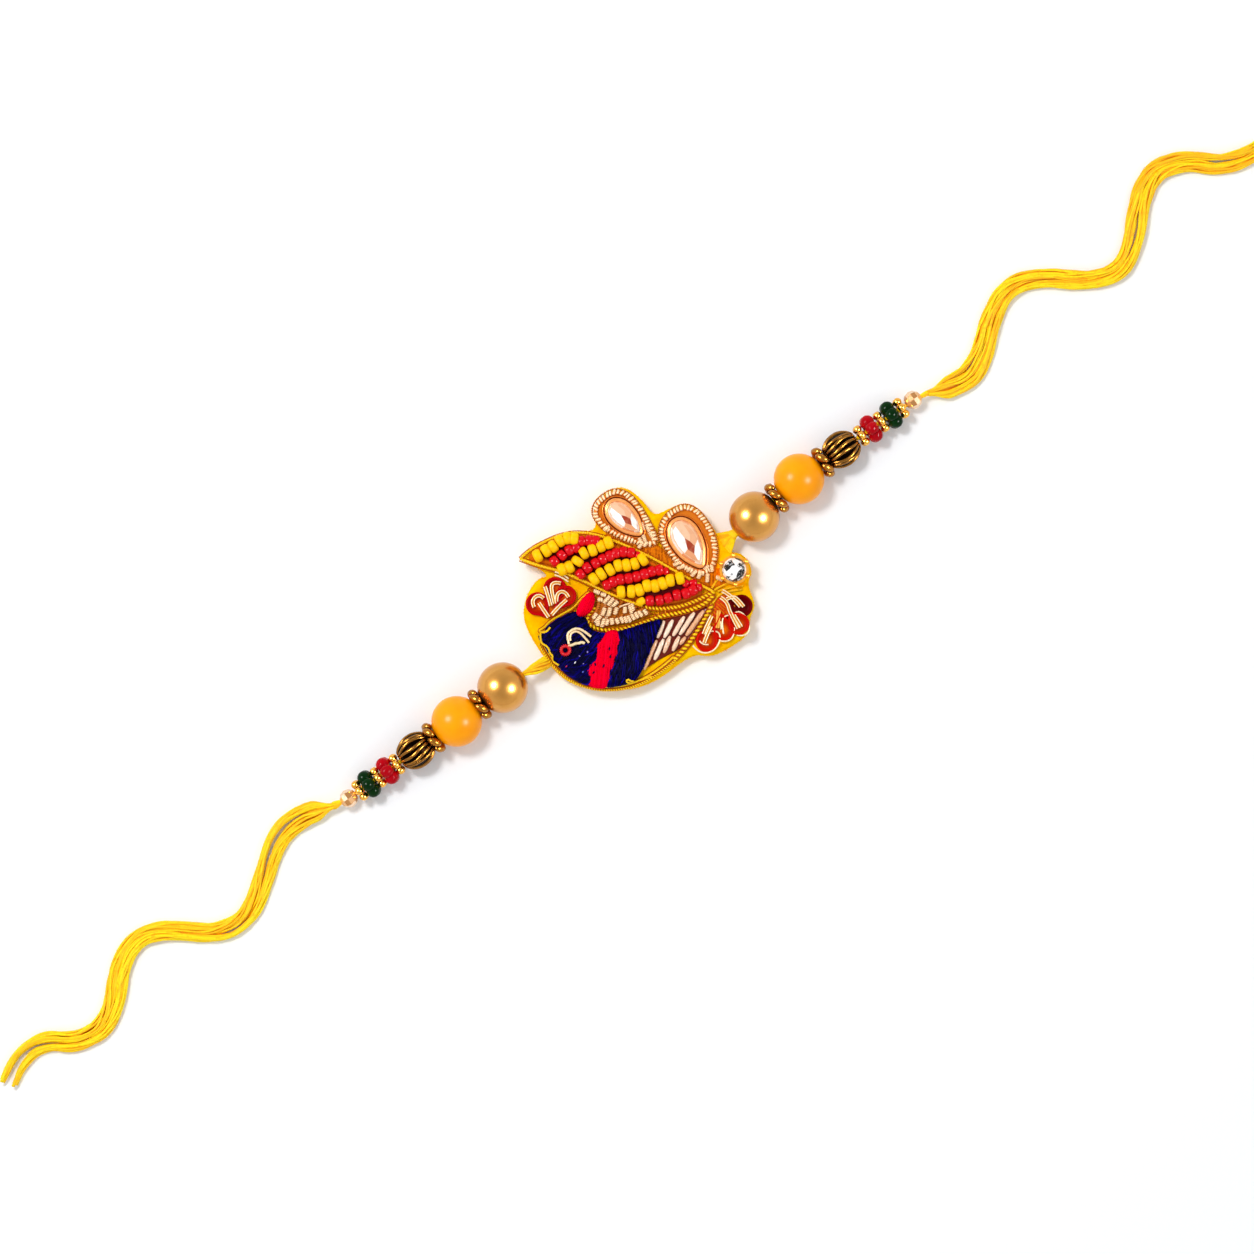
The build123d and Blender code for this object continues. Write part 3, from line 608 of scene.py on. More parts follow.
left_heap = bead_thread(LEFT_THREAD, 0.82, 5)
left_heap.piece("left_thread_strands", yellow_thread, "yellow_thread", ["left_bead_thread"])
right_heap = bead_thread(RIGHT_THREAD, 0.45, 6)
FAN_STRANDS = 11
for k in range(FAN_STRANDS):
    share = k / (FAN_STRANDS - 1)
    fan = soft_line([
        (20.2, -0.85 + 0.5 * (0.5 - share), 4.0), (19.1, -0.95 + 0.9 * (0.5 - share), 3.9),
        (18.0, -1.15 + 2.3 * (0.5 - share), 3.1 - 0.3 * rng.random()),
        (16.9, -1.35 + 3.7 * (0.5 - share), 2.3 + 0.2 * rng.random()),
        (16.0, -1.4 + 4.1 * (0.5 - share), 1.9)], THREAD_STEP)
    right_heap.strand(fan, 0.27, rng.random(), 6)
right_heap.piece("right_thread_strands", yellow_thread, "yellow_thread", ["right_bead_thread"])

# %% [markdown]
# The motif is worked on padded felt. A flat shape with a soft edge is made the same way for felt,
# pads and cloth: the outline is filled with an even net of triangles, and every point is lifted by
# its distance from the edge, so the rim rounds over as stuffed cloth does. That distance is kept on
# the points, which lets a finish treat the edge in its own way.

# %% Padded shapes
def ring_of(outline, step=0.3):
    """The smooth closed edge that an outline stands for."""
    return soft_line(outline, step, 0, closed=True)[:, :2]


def outward(ring):
    """The way out from a ring at each of its points."""
    edge = np.roll(ring, -1, 0) - np.roll(ring, 1, 0)
    turned = np.sum(ring[:, 0] * np.roll(ring[:, 1], -1) - np.roll(ring[:, 0], -1) * ring[:, 1])
    return unit(np.column_stack([edge[:, 1], -edge[:, 0]])) * (1 if turned > 0 else -1)


def inside(points, ring):
    """Which of the points lie within a ring."""
    within = np.zeros(len(points), bool)
    for (x1, y1), (x2, y2) in zip(ring, np.roll(ring, -1, 0)):
        crosses = (y1 > points[:, 1]) != (y2 > points[:, 1])
        slope = (x2 - x1) / (y2 - y1) if y2 != y1 else 0.0
        within ^= crosses & (points[:, 0] < x1 + (points[:, 1] - y1) * slope)
    return within


def edge_distance(points, ring):
    """How far each point is from the nearest edge of a ring."""
    nearest = np.full(len(points), np.inf)
    for start, run in zip(ring, np.roll(ring, -1, 0) - ring):
        share = np.clip((points - start) @ run / max(run @ run, 1e-12), 0, 1)
        nearest = np.minimum(nearest, np.linalg.norm(points - start - share[:, None] * run, axis=1))
    return nearest


def pillow(bottom, thickness, rim, edge=0.5):
    """The height of a pad's top by the distance from its edge."""
    def height(distance):
        share = np.clip(distance / rim, 0, 1)
        rise = edge + (1 - edge) * np.sqrt(1 - (1 - share) ** 2)
        return bottom + thickness * rise
    return height


ROW_GAP = 0.87
NET_TOLERANCE = 1e-6
RIPPLE_WAVES = 14


def slab(heap, ring, bottom, height, cell, tint, ripple=0.0, seed=1):
    """A closed solid over an outline with that height of top, and ripples if it is quilted."""
    low = ring.min(0)
    high = ring.max(0)
    rows = np.arange(low[1], high[1], cell * ROW_GAP)
    columns = np.arange(low[0], high[0], cell)
    net = np.array([(x + cell / 2 * (row % 2), y) for row, y in enumerate(rows) for x in columns])
    net = net[inside(net, ring)]
    net = net[edge_distance(net, ring) > cell / 2]
    start = [Vector(place) for place in np.vstack([ring, net])]
    filled = delaunay_2d_cdt(start, [], [list(range(len(ring)))], 1, NET_TOLERANCE)
    flat = np.array([tuple(place) for place in filled[0]])
    top = [tuple(face) for face in filled[2]]
    distance = edge_distance(flat, ring)
    lift = height(distance)
    if ripple:
        draw = np.random.default_rng(seed)
        inward = np.clip(distance / 0.6, 0, 1)
        for _ in range(RIPPLE_WAVES):
            way = draw.normal(size=2) * 2.2
            lift = lift + ripple * np.sin(flat @ way + ANY_PHASE * draw.random()) * inward / 4
    count = len(flat)
    points = np.vstack([np.column_stack([flat, lift]), np.column_stack([flat, np.full(count, bottom)])])
    sides = {(a, b) for face in top for a, b in zip(face, face[1:] + face[:1])}
    walls = [(b, a, a + count, b + count) for a, b in sides if (b, a) not in sides]
    under = [tuple(i + count for i in reversed(face)) for face in top]
    heap.add(points, top + under + walls, tint, np.concatenate([distance, distance]))


BASE_OUTLINE = [
    (-10.9, 14.9), (-8.4, 15.8), (-3.4, 14.9), (0.9, 12.3), (2.4, 12.4), (3.3, 15.0), (6.6, 16.1),
    (9.5, 15.2), (10.6, 11.6), (10.5, 8.5), (13.2, 8.2), (16.4, 7.2), (17.2, 2.6), (16.9, -2.9),
    (18.7, -4.2), (18.5, -7.4), (16.4, -8.6), (15.7, -12.2), (13.8, -13.1), (12.2, -15.3),
    (8.2, -15.3), (5.0, -14.7), (3.2, -12.6), (-4.9, -13.1), (-10.4, -10.5), (-14.2, -7.3),
    (-16.4, -3.0), (-16.2, 6.2), (-13.6, 9.6), (-10.0, 11.1), (-8.4, 10.2), (-9.0, 12.4)]
BASE_TOP = 3.0
ON_BASE = 3.05
felt_ring = ring_of(BASE_OUTLINE)
felt_heap = Heap()
slab(felt_heap, felt_ring, 0.0, pillow(0.0, BASE_TOP, 1.0, 0.72), 0.32, 0.35, 0.1)
print("felt", (felt_ring.max(0) - felt_ring.min(0)).round(1), "mm")

# %% [markdown]
# Felt shows as felt by its edge: short fibres stand out of it all round, and blur the outline. Each
# fibre is a thin hair with a bend in it. The rim also has low tufts on the left, where the backing
# was clipped unevenly.

# %% Felt fibres
FIBRE_COUNT = 2800
FIBRE_RADII = np.array([0.035, 0.03, 0.012])
TUFT_COUNT = 60


def felt_fibres(heap, ring, count, low, high, draw):
    """Short bent hairs that stand out of an edge."""
    out = outward(ring)
    for _ in range(count):
        k = draw.integers(len(ring))
        height = low + (high - low) * draw.random()
        sink = 0.1 + 0.5 * max(0.0, height / high - 0.8)
        root = np.append(ring[k] + (draw.random(2) - 0.5) * 0.3 - out[k] * sink, height)
        way = np.append(out[k], 0.15) + draw.normal(size=3) * (0.7, 0.7, 0.5)
        length = 0.03 + 0.07 * draw.random()
        bend = draw.normal(size=3) * 0.04
        line = np.array([root, root + way * length * 0.55, root + way * length + bend])
        line[:, 2] = np.clip(line[:, 2], 0.05, BASE_TOP + 0.3)
        heap.strand(line, FIBRE_RADII, 0.4 * draw.random(), 3)


felt_fibres(felt_heap, felt_ring, FIBRE_COUNT, 0.15, 2.9, np.random.default_rng(21))
for k in range(TUFT_COUNT):
    aim = (-15.9, 3.5 + 5.5 * k / (TUFT_COUNT - 1))
    at = felt_ring[np.argmin(np.abs(felt_ring - aim).sum(1))]
    place = np.array([at[0] + 0.35 + 0.4 * rng.random(), at[1] + (rng.random() - 0.5) * 0.6, 2.85])
    tuft = np.array([place - (0, 0, 0.3), place, place + (0, 0, 0.16)])
    felt_heap.strand(tuft, np.array([0.3, 0.26, 0.08]) * (0.7 + 0.5 * rng.random()), 0.5 * rng.random(), 7)

paint = Paint("amber_felt")
fluff = paint.noise(0.22, 4.0, 0.7)
cloud = paint.noise(1.8, 3.0, 0.6)
colour = paint.mix((cloud * 0.9 + paint.tint() * 0.3).ramp(0.35, 0.9), srgb("FFCC04"), srgb("FFAA00"))
colour = paint.mix(fluff.ramp(0.5, 0.85) * 0.3, colour, srgb("F49400"))
amber_felt = paint.finish(
    Base_Color=colour, Roughness=0.95, Normal=paint.bump(fluff, 0.04), Specular_IOR_Level=0.0)
felt = felt_heap.piece("felt_base", amber_felt, "amber_felt", ["base_felt"])

# %% [markdown]
# The bird's navy body is two satin-stitched pads: soft stuffing with shiny rayon laid over it in long
# and short stitches. The stitches do the work here. Rows of parallel strands are clipped to the
# outline, cut into stitches of uneven length, and each end dips into the pad, so light breaks along
# the rows as it does on real satin stitch.

# %% Satin stitches
STITCH_STEP = 0.18


def stitches(heap, ring, height, angle, spacing, seed, radius=0.11, length=2.6, tints=(0.2, 0.8),
             bend=0.0, swirl=0.0):
    """Long and short stitches side by side over a pad, at an angle to the X axis in degrees."""
    draw = np.random.default_rng(seed)
    turn = math.radians(angle)
    way = np.array([math.cos(turn), math.sin(turn)])
    across = np.array([-way[1], way[0]])
    middle = ring.mean(0)
    along = np.arange((ring - middle).min() - 2, (ring - middle).max() + 2, STITCH_STEP)
    reach = np.abs((ring - middle) @ across).max() + 2 * abs(bend) + abs(swirl)
    for row in np.arange(-reach, reach, spacing):
        curve = row + bend * (along / 6) ** 2 + swirl * np.sin(along / 1.9 + row * 0.5)
        places = middle + np.outer(along, way) + np.outer(curve, across)
        places += across * (draw.random() - 0.5) * spacing * 0.7
        within = inside(places, ring)
        edges = np.flatnonzero(np.diff(np.concatenate([[0], within.astype(int), [0]])))
        for start, stop in zip(edges[::2], edges[1::2]):
            at = start - int(draw.integers(0, 1 + int(length / (2 * STITCH_STEP))))
            while at < stop:
                end = at + int(length / STITCH_STEP * (0.7 + 0.6 * draw.random()))
                cut = places[max(at, start):min(end, stop)]
                at = end
                if len(cut) < 3:
                    continue
                lift = height(edge_distance(cut, ring)) + radius * 0.4
                share = np.linspace(0, 1, len(cut))
                lift = lift + 0.09 * np.sin(math.pi * share) - 0.07
                tint = tints[0] + (tints[1] - tints[0]) * draw.random() ** 2
                heap.strand(np.column_stack([cut, lift]), radius, tint, 5)


def satin(name, dark, light, roughness, shine):
    """Rayon thread: each stitch has its own tone, partly painted sheen, and fine fibres run through them
    all.
    """
    paint = Paint(name)
    fine = paint.noise(0.07, 2.0, 0.6)
    colour = paint.mix(paint.tint().ramp(0.1, 1.0), dark, light)
    colour = paint.mix(fine.ramp(0.5, 0.8) * 0.3, colour, light)
    return paint.finish(
        Base_Color=colour, Roughness=roughness, Normal=paint.bump(fine, 0.01), Specular_IOR_Level=shine)


navy_satin = satin("navy_satin", srgb("02001E"), srgb("0C029A"), 0.4, 0.02)
red_satin = satin("red_satin", srgb("EE0020"), srgb("FF0038"), 0.6, 0.0)

# %% Navy and red pads
HEAD_PAD = [
    (-15.4, 3.7), (-14.4, 3.5), (-12.3, 4.2), (-8.0, 3.6), (-8.0, 2.4), (-7.2, 1.4), (-7.9, 0.2),
    (-7.0, -1.6), (-4.9, -2.9), (-7.0, -3.8), (-9.4, -5.5), (-11.2, -6.5), (-12.4, -8.0),
    (-13.6, -7.0), (-14.9, -4.6), (-15.5, -1.6), (-15.3, 1.0)]
RED_STRIPE = [
    (-4.6, -3.1), (-5.3, -2.3), (-8.4, -2.4), (-9.1, -3.5), (-9.8, -4.6), (-11.1, -4.6), (-12.3, -5.4),
    (-12.2, -6.8), (-13.2, -7.2), (-11.3, -9.2), (-9.5, -8.5), (-9.3, -7.3), (-8.1, -7.5), (-7.5, -6.1),
    (-6.2, -6.1), (-6.0, -4.9), (-4.6, -4.7)]
BODY_PAD = [
    (-6.0, -2.5), (-2.5, -3.7), (1.4, -4.9), (2.7, -5.6), (-0.6, -7.4), (-4.6, -10.2), (-7.0, -11.2),
    (-11.6, -9.2), (-10.3, -7.8), (-7.8, -6.0), (-6.4, -4.4)]
RED_LEAF = [(-8.7, 2.6), (-7.4, 3.8), (-5.6, 4.6), (-3.9, 4.5), (-4.6, 2.9), (-6.0, 1.9), (-7.6, 1.9)]
PAD_THICKNESS = 1.7
PAD_RIM = 1.3
PAD_EDGE = 0.45


def stitched_pad(name, outline, material, slot, node, thickness, *layers, grow=0.0):
    """A pad with one or more layers of stitches."""
    ring = ring_of(outline, 0.25)
    ring = ring + grow * outward(ring)
    heap = Heap()
    height = pillow(ON_BASE, thickness, PAD_RIM, PAD_EDGE)
    slab(heap, ring, ON_BASE, height, 0.4, 0.0)
    for layer in layers:
        stitches(heap, ring, height, **layer)
    pad = heap.piece(name, material, slot, [node])


# Navy pads: a sparse second layer of lighter stitches, partly lighter thread and partly painted sheen.
stitched_pad(
    "head_satin", HEAD_PAD, navy_satin, "navy_satin", "head_pad", PAD_THICKNESS,
    dict(angle=12, spacing=0.16, bend=-0.5, swirl=0.35, seed=31, tints=(0.0, 0.6)),
    dict(angle=-30, spacing=0.75, length=2.4, swirl=0.6, seed=32, tints=(0.2, 1.0)))
stitched_pad(
    "body_satin", BODY_PAD, navy_satin, "navy_satin", "body_pad", PAD_THICKNESS,
    dict(angle=57, spacing=0.16, bend=0.9, seed=33, tints=(0.0, 0.6)),
    dict(angle=44, spacing=0.75, length=2.4, bend=1.6, seed=34, tints=(0.2, 1.0)))
stitched_pad(
    "stripe_satin", RED_STRIPE, red_satin, "red_satin", "red_stripe", PAD_THICKNESS + 0.17,
    dict(angle=48, spacing=0.15, radius=0.12, length=6.0, swirl=0.1, seed=35), grow=0.24)
stitched_pad(
    "leaf_satin", RED_LEAF, red_satin, "red_satin", "red_leaf", PAD_THICKNESS + 0.1,
    dict(angle=30, spacing=0.15, radius=0.12, length=6.0, seed=36))

# %% [markdown]
# The leaf over the bird is covered with glass seed beads, sewn in eight rows that change between
# yellow and red. A seed bead is a short tube with rounded ends, threaded along its row, so it is
# turned like a pot: one half profile, spun about the thread. The cloth under them is dark red.

# %% Seed beads
BEAD_PROFILE = [
    (-0.72, 0.16), (-0.9, 0.24), (-1.0, 0.46), (-0.95, 0.7), (-0.76, 0.88), (-0.42, 0.98), (0.0, 1.0),
    (0.42, 0.98), (0.76, 0.88), (0.95, 0.7), (1.0, 0.46), (0.9, 0.24), (0.72, 0.16)]
SEED_BEAD_SIDES = 14


def seed_bead(heap, centre, angle, length, across, tint):
    """A rounded bead with a dimple at each end of its hole. angle is its thread's, in degrees."""
    turn = math.radians(angle)
    profile = [(length / 2 * place, across / 2 * radius) for place, radius in BEAD_PROFILE]
    heap.turned(centre, (math.cos(turn), math.sin(turn), 0.0), profile, SEED_BEAD_SIDES, tint)


YELLOW_ROWS = [
    [(-8.0, 13.9), (-6.45, 13.8), (-5.15, 13.7), (-3.75, 13.8), (-2.6, 13.5), (-1.75, 12.8)],
    [(-6.1, 9.95), (-4.9, 9.6), (-3.35, 9.6), (-1.8, 10.1), (-0.4, 9.7), (1.0, 9.45), (2.3, 9.2)],
    [(-2.85, 5.85), (-1.45, 5.85), (0.05, 5.6), (1.5, 5.4), (2.6, 4.7), (3.8, 4.15), (5.2, 3.95)],
    [(-0.5, 1.75), (0.85, 0.9), (2.0, 0.35), (3.4, 0.2), (4.4, -0.55), (5.6, -0.9), (6.85, -1.2),
     (8.3, -1.8)],
    [(1.2, -1.3)]]
RED_ROWS = [
    [(-6.3, 11.7), (-4.8, 11.8), (-3.4, 11.8), (-2.3, 11.5), (-1.0, 11.8), (0.0, 11.2), (0.8, 10.6)],
    [(-4.1, 7.7), (-2.7, 7.9), (-1.2, 7.7), (0.1, 7.6), (1.3, 7.4), (2.3, 7.2), (3.4, 6.7), (4.3, 5.9)],
    [(-1.7, 3.9), (-0.6, 3.75), (0.5, 3.4), (1.7, 2.8), (2.9, 2.3), (4.1, 1.9), (5.3, 1.6), (6.4, 1.1)],
    [(2.4, -2.0), (3.7, -2.8), (5.0, -3.3), (6.4, -3.7), (7.7, -4.3), (8.9, -4.5)]]
LEAF_PANEL = [
    (-9.9, 14.7), (-7.0, 14.95), (-2.6, 14.05), (0.6, 11.85), (3.0, 8.6), (6.15, 3.2), (8.1, -1.0),
    (10.7, -6.15), (7.5, -5.7), (3.5, -3.85), (1.3, -1.8), (-2.0, 3.1), (-4.0, 6.9), (-6.1, 10.3),
    (-8.2, 12.7)]
LOOSE_BEADS = [(8.6, -3.1, 20), (9.6, -3.6, -30), (9.9, -4.7, 60), (7.1, 0.4, 70), (4.9, 5.0, 20)]
BEAD_LENGTH = 1.36
YELLOW_ACROSS = 2.05
RED_ACROSS = 1.75


def sew_row(heap, places, across, level, tints):
    """A row of seed beads, each turned along the line to its neighbours. A lone bead is a small one."""
    for k, (x, y) in enumerate(places):
        before = places[max(k - 1, 0)]
        after = places[min(k + 1, len(places) - 1)]
        angle = math.degrees(math.atan2(after[1] - before[1], after[0] - before[0])) + rng.normal() * 4
        size = across * (0.62 if len(places) == 1 else 0.97 + 0.06 * rng.random())
        lift = level + 0.05 * rng.normal()
        length = BEAD_LENGTH * (0.97 + 0.06 * rng.random())
        tint = tints[0] + (tints[1] - tints[0]) * rng.random()
        seed_bead(heap, (x, y, lift), angle, length, size, tint)


bead_heap = Heap()
leaf_ring = ring_of(LEAF_PANEL)
slab(bead_heap, leaf_ring, ON_BASE, pillow(ON_BASE, 0.55, 0.8), 0.35, 0.0)
for row in YELLOW_ROWS:
    sew_row(bead_heap, row, YELLOW_ACROSS, 4.3, (0.8, 1.0))
for row in RED_ROWS:
    sew_row(bead_heap, row, RED_ACROSS, 4.15, (0.4, 0.6))
for x, y, turn in LOOSE_BEADS:
    seed_bead(bead_heap, (x, y, 3.85), turn, 1.2, 1.15, 0.42)
print(sum(len(row) for row in YELLOW_ROWS), "yellow and", sum(len(row) for row in RED_ROWS), "red beads")

# %% Seed bead finish
paint = Paint("seed_beads")
kind = paint.tint()
drift = paint.noise(0.9)
is_bead = kind.ramp(0.15, 0.2)
is_yellow = kind.ramp(0.66, 0.7)
yellow = paint.mix(drift, srgb("FFD400"), srgb("FFB800"))
red = paint.mix(drift, srgb("EA0018"), srgb("C80010"))
cloth = paint.mix((1 - paint.run()).ramp(0.1, 0.7), srgb("5A0508"), srgb("D86A00"))
colour = paint.mix(is_bead, cloth, paint.mix(is_yellow, red, yellow))
# Painted shade: each bead darkens in the crevices, to deep red on red beads and to brown on yellow ones.
shade = paint.mix(is_yellow, srgb("3A0004"), srgb("B86400"))
colour = paint.mix(paint.recess(0.7).ramp(0.0, 0.45), shade, colour)
seed_finish = paint.finish(
    Base_Color=colour, Roughness=0.85 - is_bead * 0.6 + is_yellow * 0.16,
    Normal=paint.bump(drift, 0.02), Coat_Weight=is_bead * 0.25 - is_yellow * 0.25, Coat_Roughness=0.12,
    Specular_IOR_Level=0.06)
panel = bead_heap.piece("seed_bead_panel", seed_finish, "seed_beads", ["bead_panel"])

# %% [markdown]
# Gold cord is couched along every edge: laid on the cloth and caught down with tiny stitches. Some
# is twisted from three strands. Some is wire wound over a core, which looks like a row of beads. Both
# come from the same winding, with three starts or with one.

# %% Gold cords
WIRE_SHARE = 0.27
LINE_STEP = 0.15


def twisted_cord(heap, line, across, tint):
    """A three-strand rope of that thickness."""
    strand = across * WIRE_SHARE
    heap.coil(line, across / 2 - strand, strand, across * 2.6, tint, 5, starts=3, spread=0.15)


def beaded_cord(heap, line, across, tint=0.9, closed=False, pitch=0.88):
    """Thick wire wound over a core, so that each turn shows as a bead."""
    wire = across * WIRE_SHARE
    heap.strand(line, across * 0.3, 0.15, 6, closed)
    heap.coil(line, across / 2 - wire, wire, across * pitch, tint, 6, closed, spread=0.1, per_turn=9)


def offset(line, distance):
    """The same line moved to its left."""
    return line + ways(line)[1] * distance


def shadow_threads(heap, line, rows):
    """Painted shadow: thin dark threads beside a cord. Each row says how far to its left, how thick, what
    tint.
    """
    for distance, radius, tint in rows:
        heap.strand(offset(line, distance), radius, tint, 5)


def cord_finish(name, light, warm, deep, metallic=0.05, roughness=0.35):
    """Metal thread: bright turns, a warm tone and painted shade towards the gaps, and a dark core."""
    paint = Paint(name)
    drift = paint.noise(0.5)
    tone = paint.tint() * 0.9 + drift * 0.2
    # Painted light and shade: the light tone shows only in the open, and crevices turn deep.
    open_air = paint.recess(0.3)
    colour = paint.mix(tone.ramp(0.2, 0.5), deep, warm)
    colour = paint.mix(tone.ramp(0.55, 0.85) * open_air.ramp(0.25, 0.7), colour, light)
    colour = paint.mix(open_air.ramp(0.0, 0.25), deep, colour)
    return paint.finish(
        Base_Color=colour, Metallic=metallic, Roughness=roughness, Normal=paint.bump(drift, 0.01),
        Specular_IOR_Level=0.1)


gold_cord = cord_finish("gold_cord", srgb("FFD210"), srgb("FFA200"), srgb("B44A00"))

# %% Cords round the leaf
LEAF_BORDER = [
    (-10.4, 15.0), (-7.2, 15.35), (-2.4, 14.45), (0.9, 12.15), (3.4, 8.8), (6.6, 3.4), (8.5, -0.9),
    (11.5, -6.7), (7.4, -6.15), (3.3, -4.3), (0.9, -2.1), (-2.4, 2.9), (-4.4, 6.7), (-6.5, 10.0),
    (-8.6, 12.4)]
BORDER_LEVEL = 3.55
LEAF_TIP = (-10.5, 15.1)
TIE_COUNT = 10
heap = Heap()
top_points = [LEAF_TIP, (-9.4, 15.3)] + LEAF_BORDER[1:7] + [(11.4, -6.5)]
low_points = [(11.4, -6.6)] + LEAF_BORDER[8:] + [(-10.2, 14.6), LEAF_TIP]
top_edge = soft_line(top_points, LINE_STEP, BORDER_LEVEL)
low_edge = soft_line(low_points, LINE_STEP, BORDER_LEVEL + 0.1)
twisted_cord(heap, top_edge, 0.5, 0.95)
shadow_threads(heap, top_edge, [(0.28, 0.08, 0.1), (-0.28, 0.08, 0.05)])
bend_at = int(len(low_edge) * 0.36)
beaded_cord(heap, low_edge[:bend_at], 0.66)
twisted_cord(heap, low_edge[bend_at:], 0.52, 1.0)
shadow_threads(heap, low_edge, [(0.36, 0.09, 0.05), (-0.36, 0.09, 0.1)])
for k in range(TIE_COUNT):
    at = top_edge[int(len(top_edge) * (0.2 + 0.75 * k / TIE_COUNT))]
    tie = np.array([at + (-0.25, -0.2, 0.0), at + (0, 0, 0.32), at + (0.25, 0.22, 0.0)])
    heap.strand(tie, 0.09, 1.0, 5)
heap.piece("leaf_cord", gold_cord, "gold_cord", ["panel_border"])

# %% Cord round the crescent
BRIM_BORDER = [
    (-5.3, 2.1), (-6.9, 1.75), (-7.5, 1.0), (-7.5, 0.1), (-6.5, -1.4), (-4.2, -3.1), (0.8, -4.6),
    (2.6, -5.0), (5.5, -6.4), (9.2, -7.5), (11.2, -7.0)]
BRIM_STITCHES = 16
heap = Heap()
brim = soft_line(BRIM_BORDER, LINE_STEP, BORDER_LEVEL)
beaded_cord(heap, brim, 0.72)
shadow_threads(heap, brim, [(0.42, 0.09, 0.1), (-0.42, 0.09, 0.0)])
for k in range(BRIM_STITCHES):
    share = k / (BRIM_STITCHES - 1)
    low = np.array([1.4 + 8.6 * share, -4.7 - 2.5 * share, 3.35])
    high = low + (0.55, 0.75 - 0.25 * share, 0.05)
    heap.strand(np.array([low, (low + high) / 2 + (0, 0, 0.15), high]), 0.13, 0.15 + 0.3 * (k % 2), 5)
heap.piece("brim_cord", gold_cord, "gold_cord", ["brim_border"])

# %% [markdown]
# Round the body two cords lie side by side, and one thicker cord goes on beside the wing. At the head
# and under the body a loose cord wanders over the edge of the satin. Its line is laid over the pad:
# each point takes the pad's height there, and outside the pad it slopes down to the felt.

# %% Cords round the body and the crown
BODY_BORDER = [
    (-15.5, 2.4), (-16.0, -1.1), (-14.7, -5.6), (-12.3, -8.8), (-8.0, -11.4), (-3.2, -12.1),
    (2.5, -11.5), (8.4, -9.1), (11.3, -7.35), (13.4, -7.8), (15.3, -8.85)]
TOP_BORDER = [
    (-13.1, 3.65), (-14.3, 3.5), (-14.6, 4.2), (-13.8, 4.0), (-12.2, 4.4), (-9.9, 4.15),
    (-7.9, 3.95), (-6.3, 4.5), (-4.6, 4.6)]
LOOSE_CORD = [
    (-12.82, 3.58), (-13.19, 3.39), (-14.04, 3.4), (-14.4, 3.8), (-14.89, 3.31), (-15.31, 2.5),
    (-15.21, 2.01), (-14.94, 1.5), (-14.92, 0.82), (-15.2, 0.28), (-15.01, -0.29), (-15.45, -0.71),
    (-15.42, -1.43), (-15.11, -2.04)]
HOOK_CORD = [
    (-6.94, -10.8), (-7.22, -10.85), (-7.49, -10.02), (-7.95, -10.26), (-7.71, -10.75),
    (-6.77, -11.09), (-5.35, -11.52), (-4.17, -11.93)]
CORD_ENDS = [((11.4, -6.4), (14.6, -6.9)), ((12.0, -6.9), (15.8, -8.4)), ((11.2, -6.1), (14.2, -5.0))]


def laid_over(points, outline, lift=0.3):
    """A line dropped onto a pad, sloping down to the base where it runs past the pad's edge."""
    ring = ring_of(outline, 0.25)
    flat = soft_line(points, LINE_STEP, 0)[:, :2]
    depth = np.where(inside(flat, ring), 1, -1) * edge_distance(flat, ring)
    top = pillow(ON_BASE, PAD_THICKNESS, PAD_RIM, PAD_EDGE)(depth)
    drop = PAD_EDGE * PAD_THICKNESS * np.clip(-depth / 0.5, 0, 1)
    return np.column_stack([flat, top - drop + lift])


heap = Heap()
body_edge = soft_line(BODY_BORDER, LINE_STEP, 3.3)
parting = int(len(body_edge) * 0.62)
rim = body_edge[:parting]
wing = body_edge[parting - 2:]
beaded_cord(heap, offset(rim, -0.2), 0.44, 1.0)
twisted_cord(heap, offset(rim, 0.36), 0.42, 1.0)
shadow_threads(heap, rim, [(0.08, 0.1, 0.0), (0.62, 0.08, 0.05)])
end_at = int(len(wing) * 0.66)
beaded_cord(heap, wing[:end_at] + (0, 0, 0.12), 0.78, 1.0)
twisted_cord(heap, wing[end_at:], 0.42, 0.7)
shadow_threads(heap, wing[:end_at], [(0.44, 0.09, 0.1), (-0.44, 0.09, 0.1)])
twisted_cord(heap, laid_over(LOOSE_CORD, HEAD_PAD), 0.36, 0.95)
twisted_cord(heap, laid_over(HOOK_CORD, BODY_PAD), 0.34, 0.9)
for start, end in CORD_ENDS:
    middle = ((start[0] + end[0]) / 2, (start[1] + end[1]) / 2 + 0.2)
    twisted_cord(heap, soft_line([start, middle, end], LINE_STEP, 3.35), 0.42, 0.75)
heap.piece("body_cord", gold_cord, "gold_cord", ["body_border"])

heap = Heap()
crown_edge = soft_line(TOP_BORDER, LINE_STEP, BORDER_LEVEL)
twisted_cord(heap, crown_edge, 0.38, 1.0)
shadow_threads(heap, crown_edge, [(0.28, 0.07, 0.1), (-0.26, 0.07, 0.0)])
heap.piece("crown_cord", gold_cord, "gold_cord", ["top_border"])

# %% [markdown]
# The coils round the stones and the crescent are purl: fine copper wire wound into a spring, cut to
# chips and sewn down like beads. A chip is a short coil. Round a stone cream wire is wound over a
# warm core, and it shows as arcs over the core's top and outer side, which lean and vary. Outside it
# runs a fine beaded wire.

# %% Purl
FINE_STEP = 0.12


def low_stitch(x, y, level, angle, length, rise, dip):
    """A short straight line that dips at both ends. angle is in degrees."""
    turn = math.radians(angle)
    half = np.array([math.cos(turn), math.sin(turn), 0.0]) * length / 2
    centre = np.array([x, y, level])
    return even([centre - half - (0, 0, dip), centre + (0, 0, rise), centre + half - (0, 0, dip)], 0.1)


def chip(heap, x, y, level, angle, length, tint, wire=0.13, radius=0.25):
    """A short cut of purl, sewn down at both ends."""
    line = low_stitch(x, y, level, angle, length, 0.06, 0.14)
    heap.strand(line, radius * 0.9, tint * 0.85, 6)
    heap.coil(line, radius, wire, wire * 1.9, tint, 4, spread=0.1, per_turn=8)


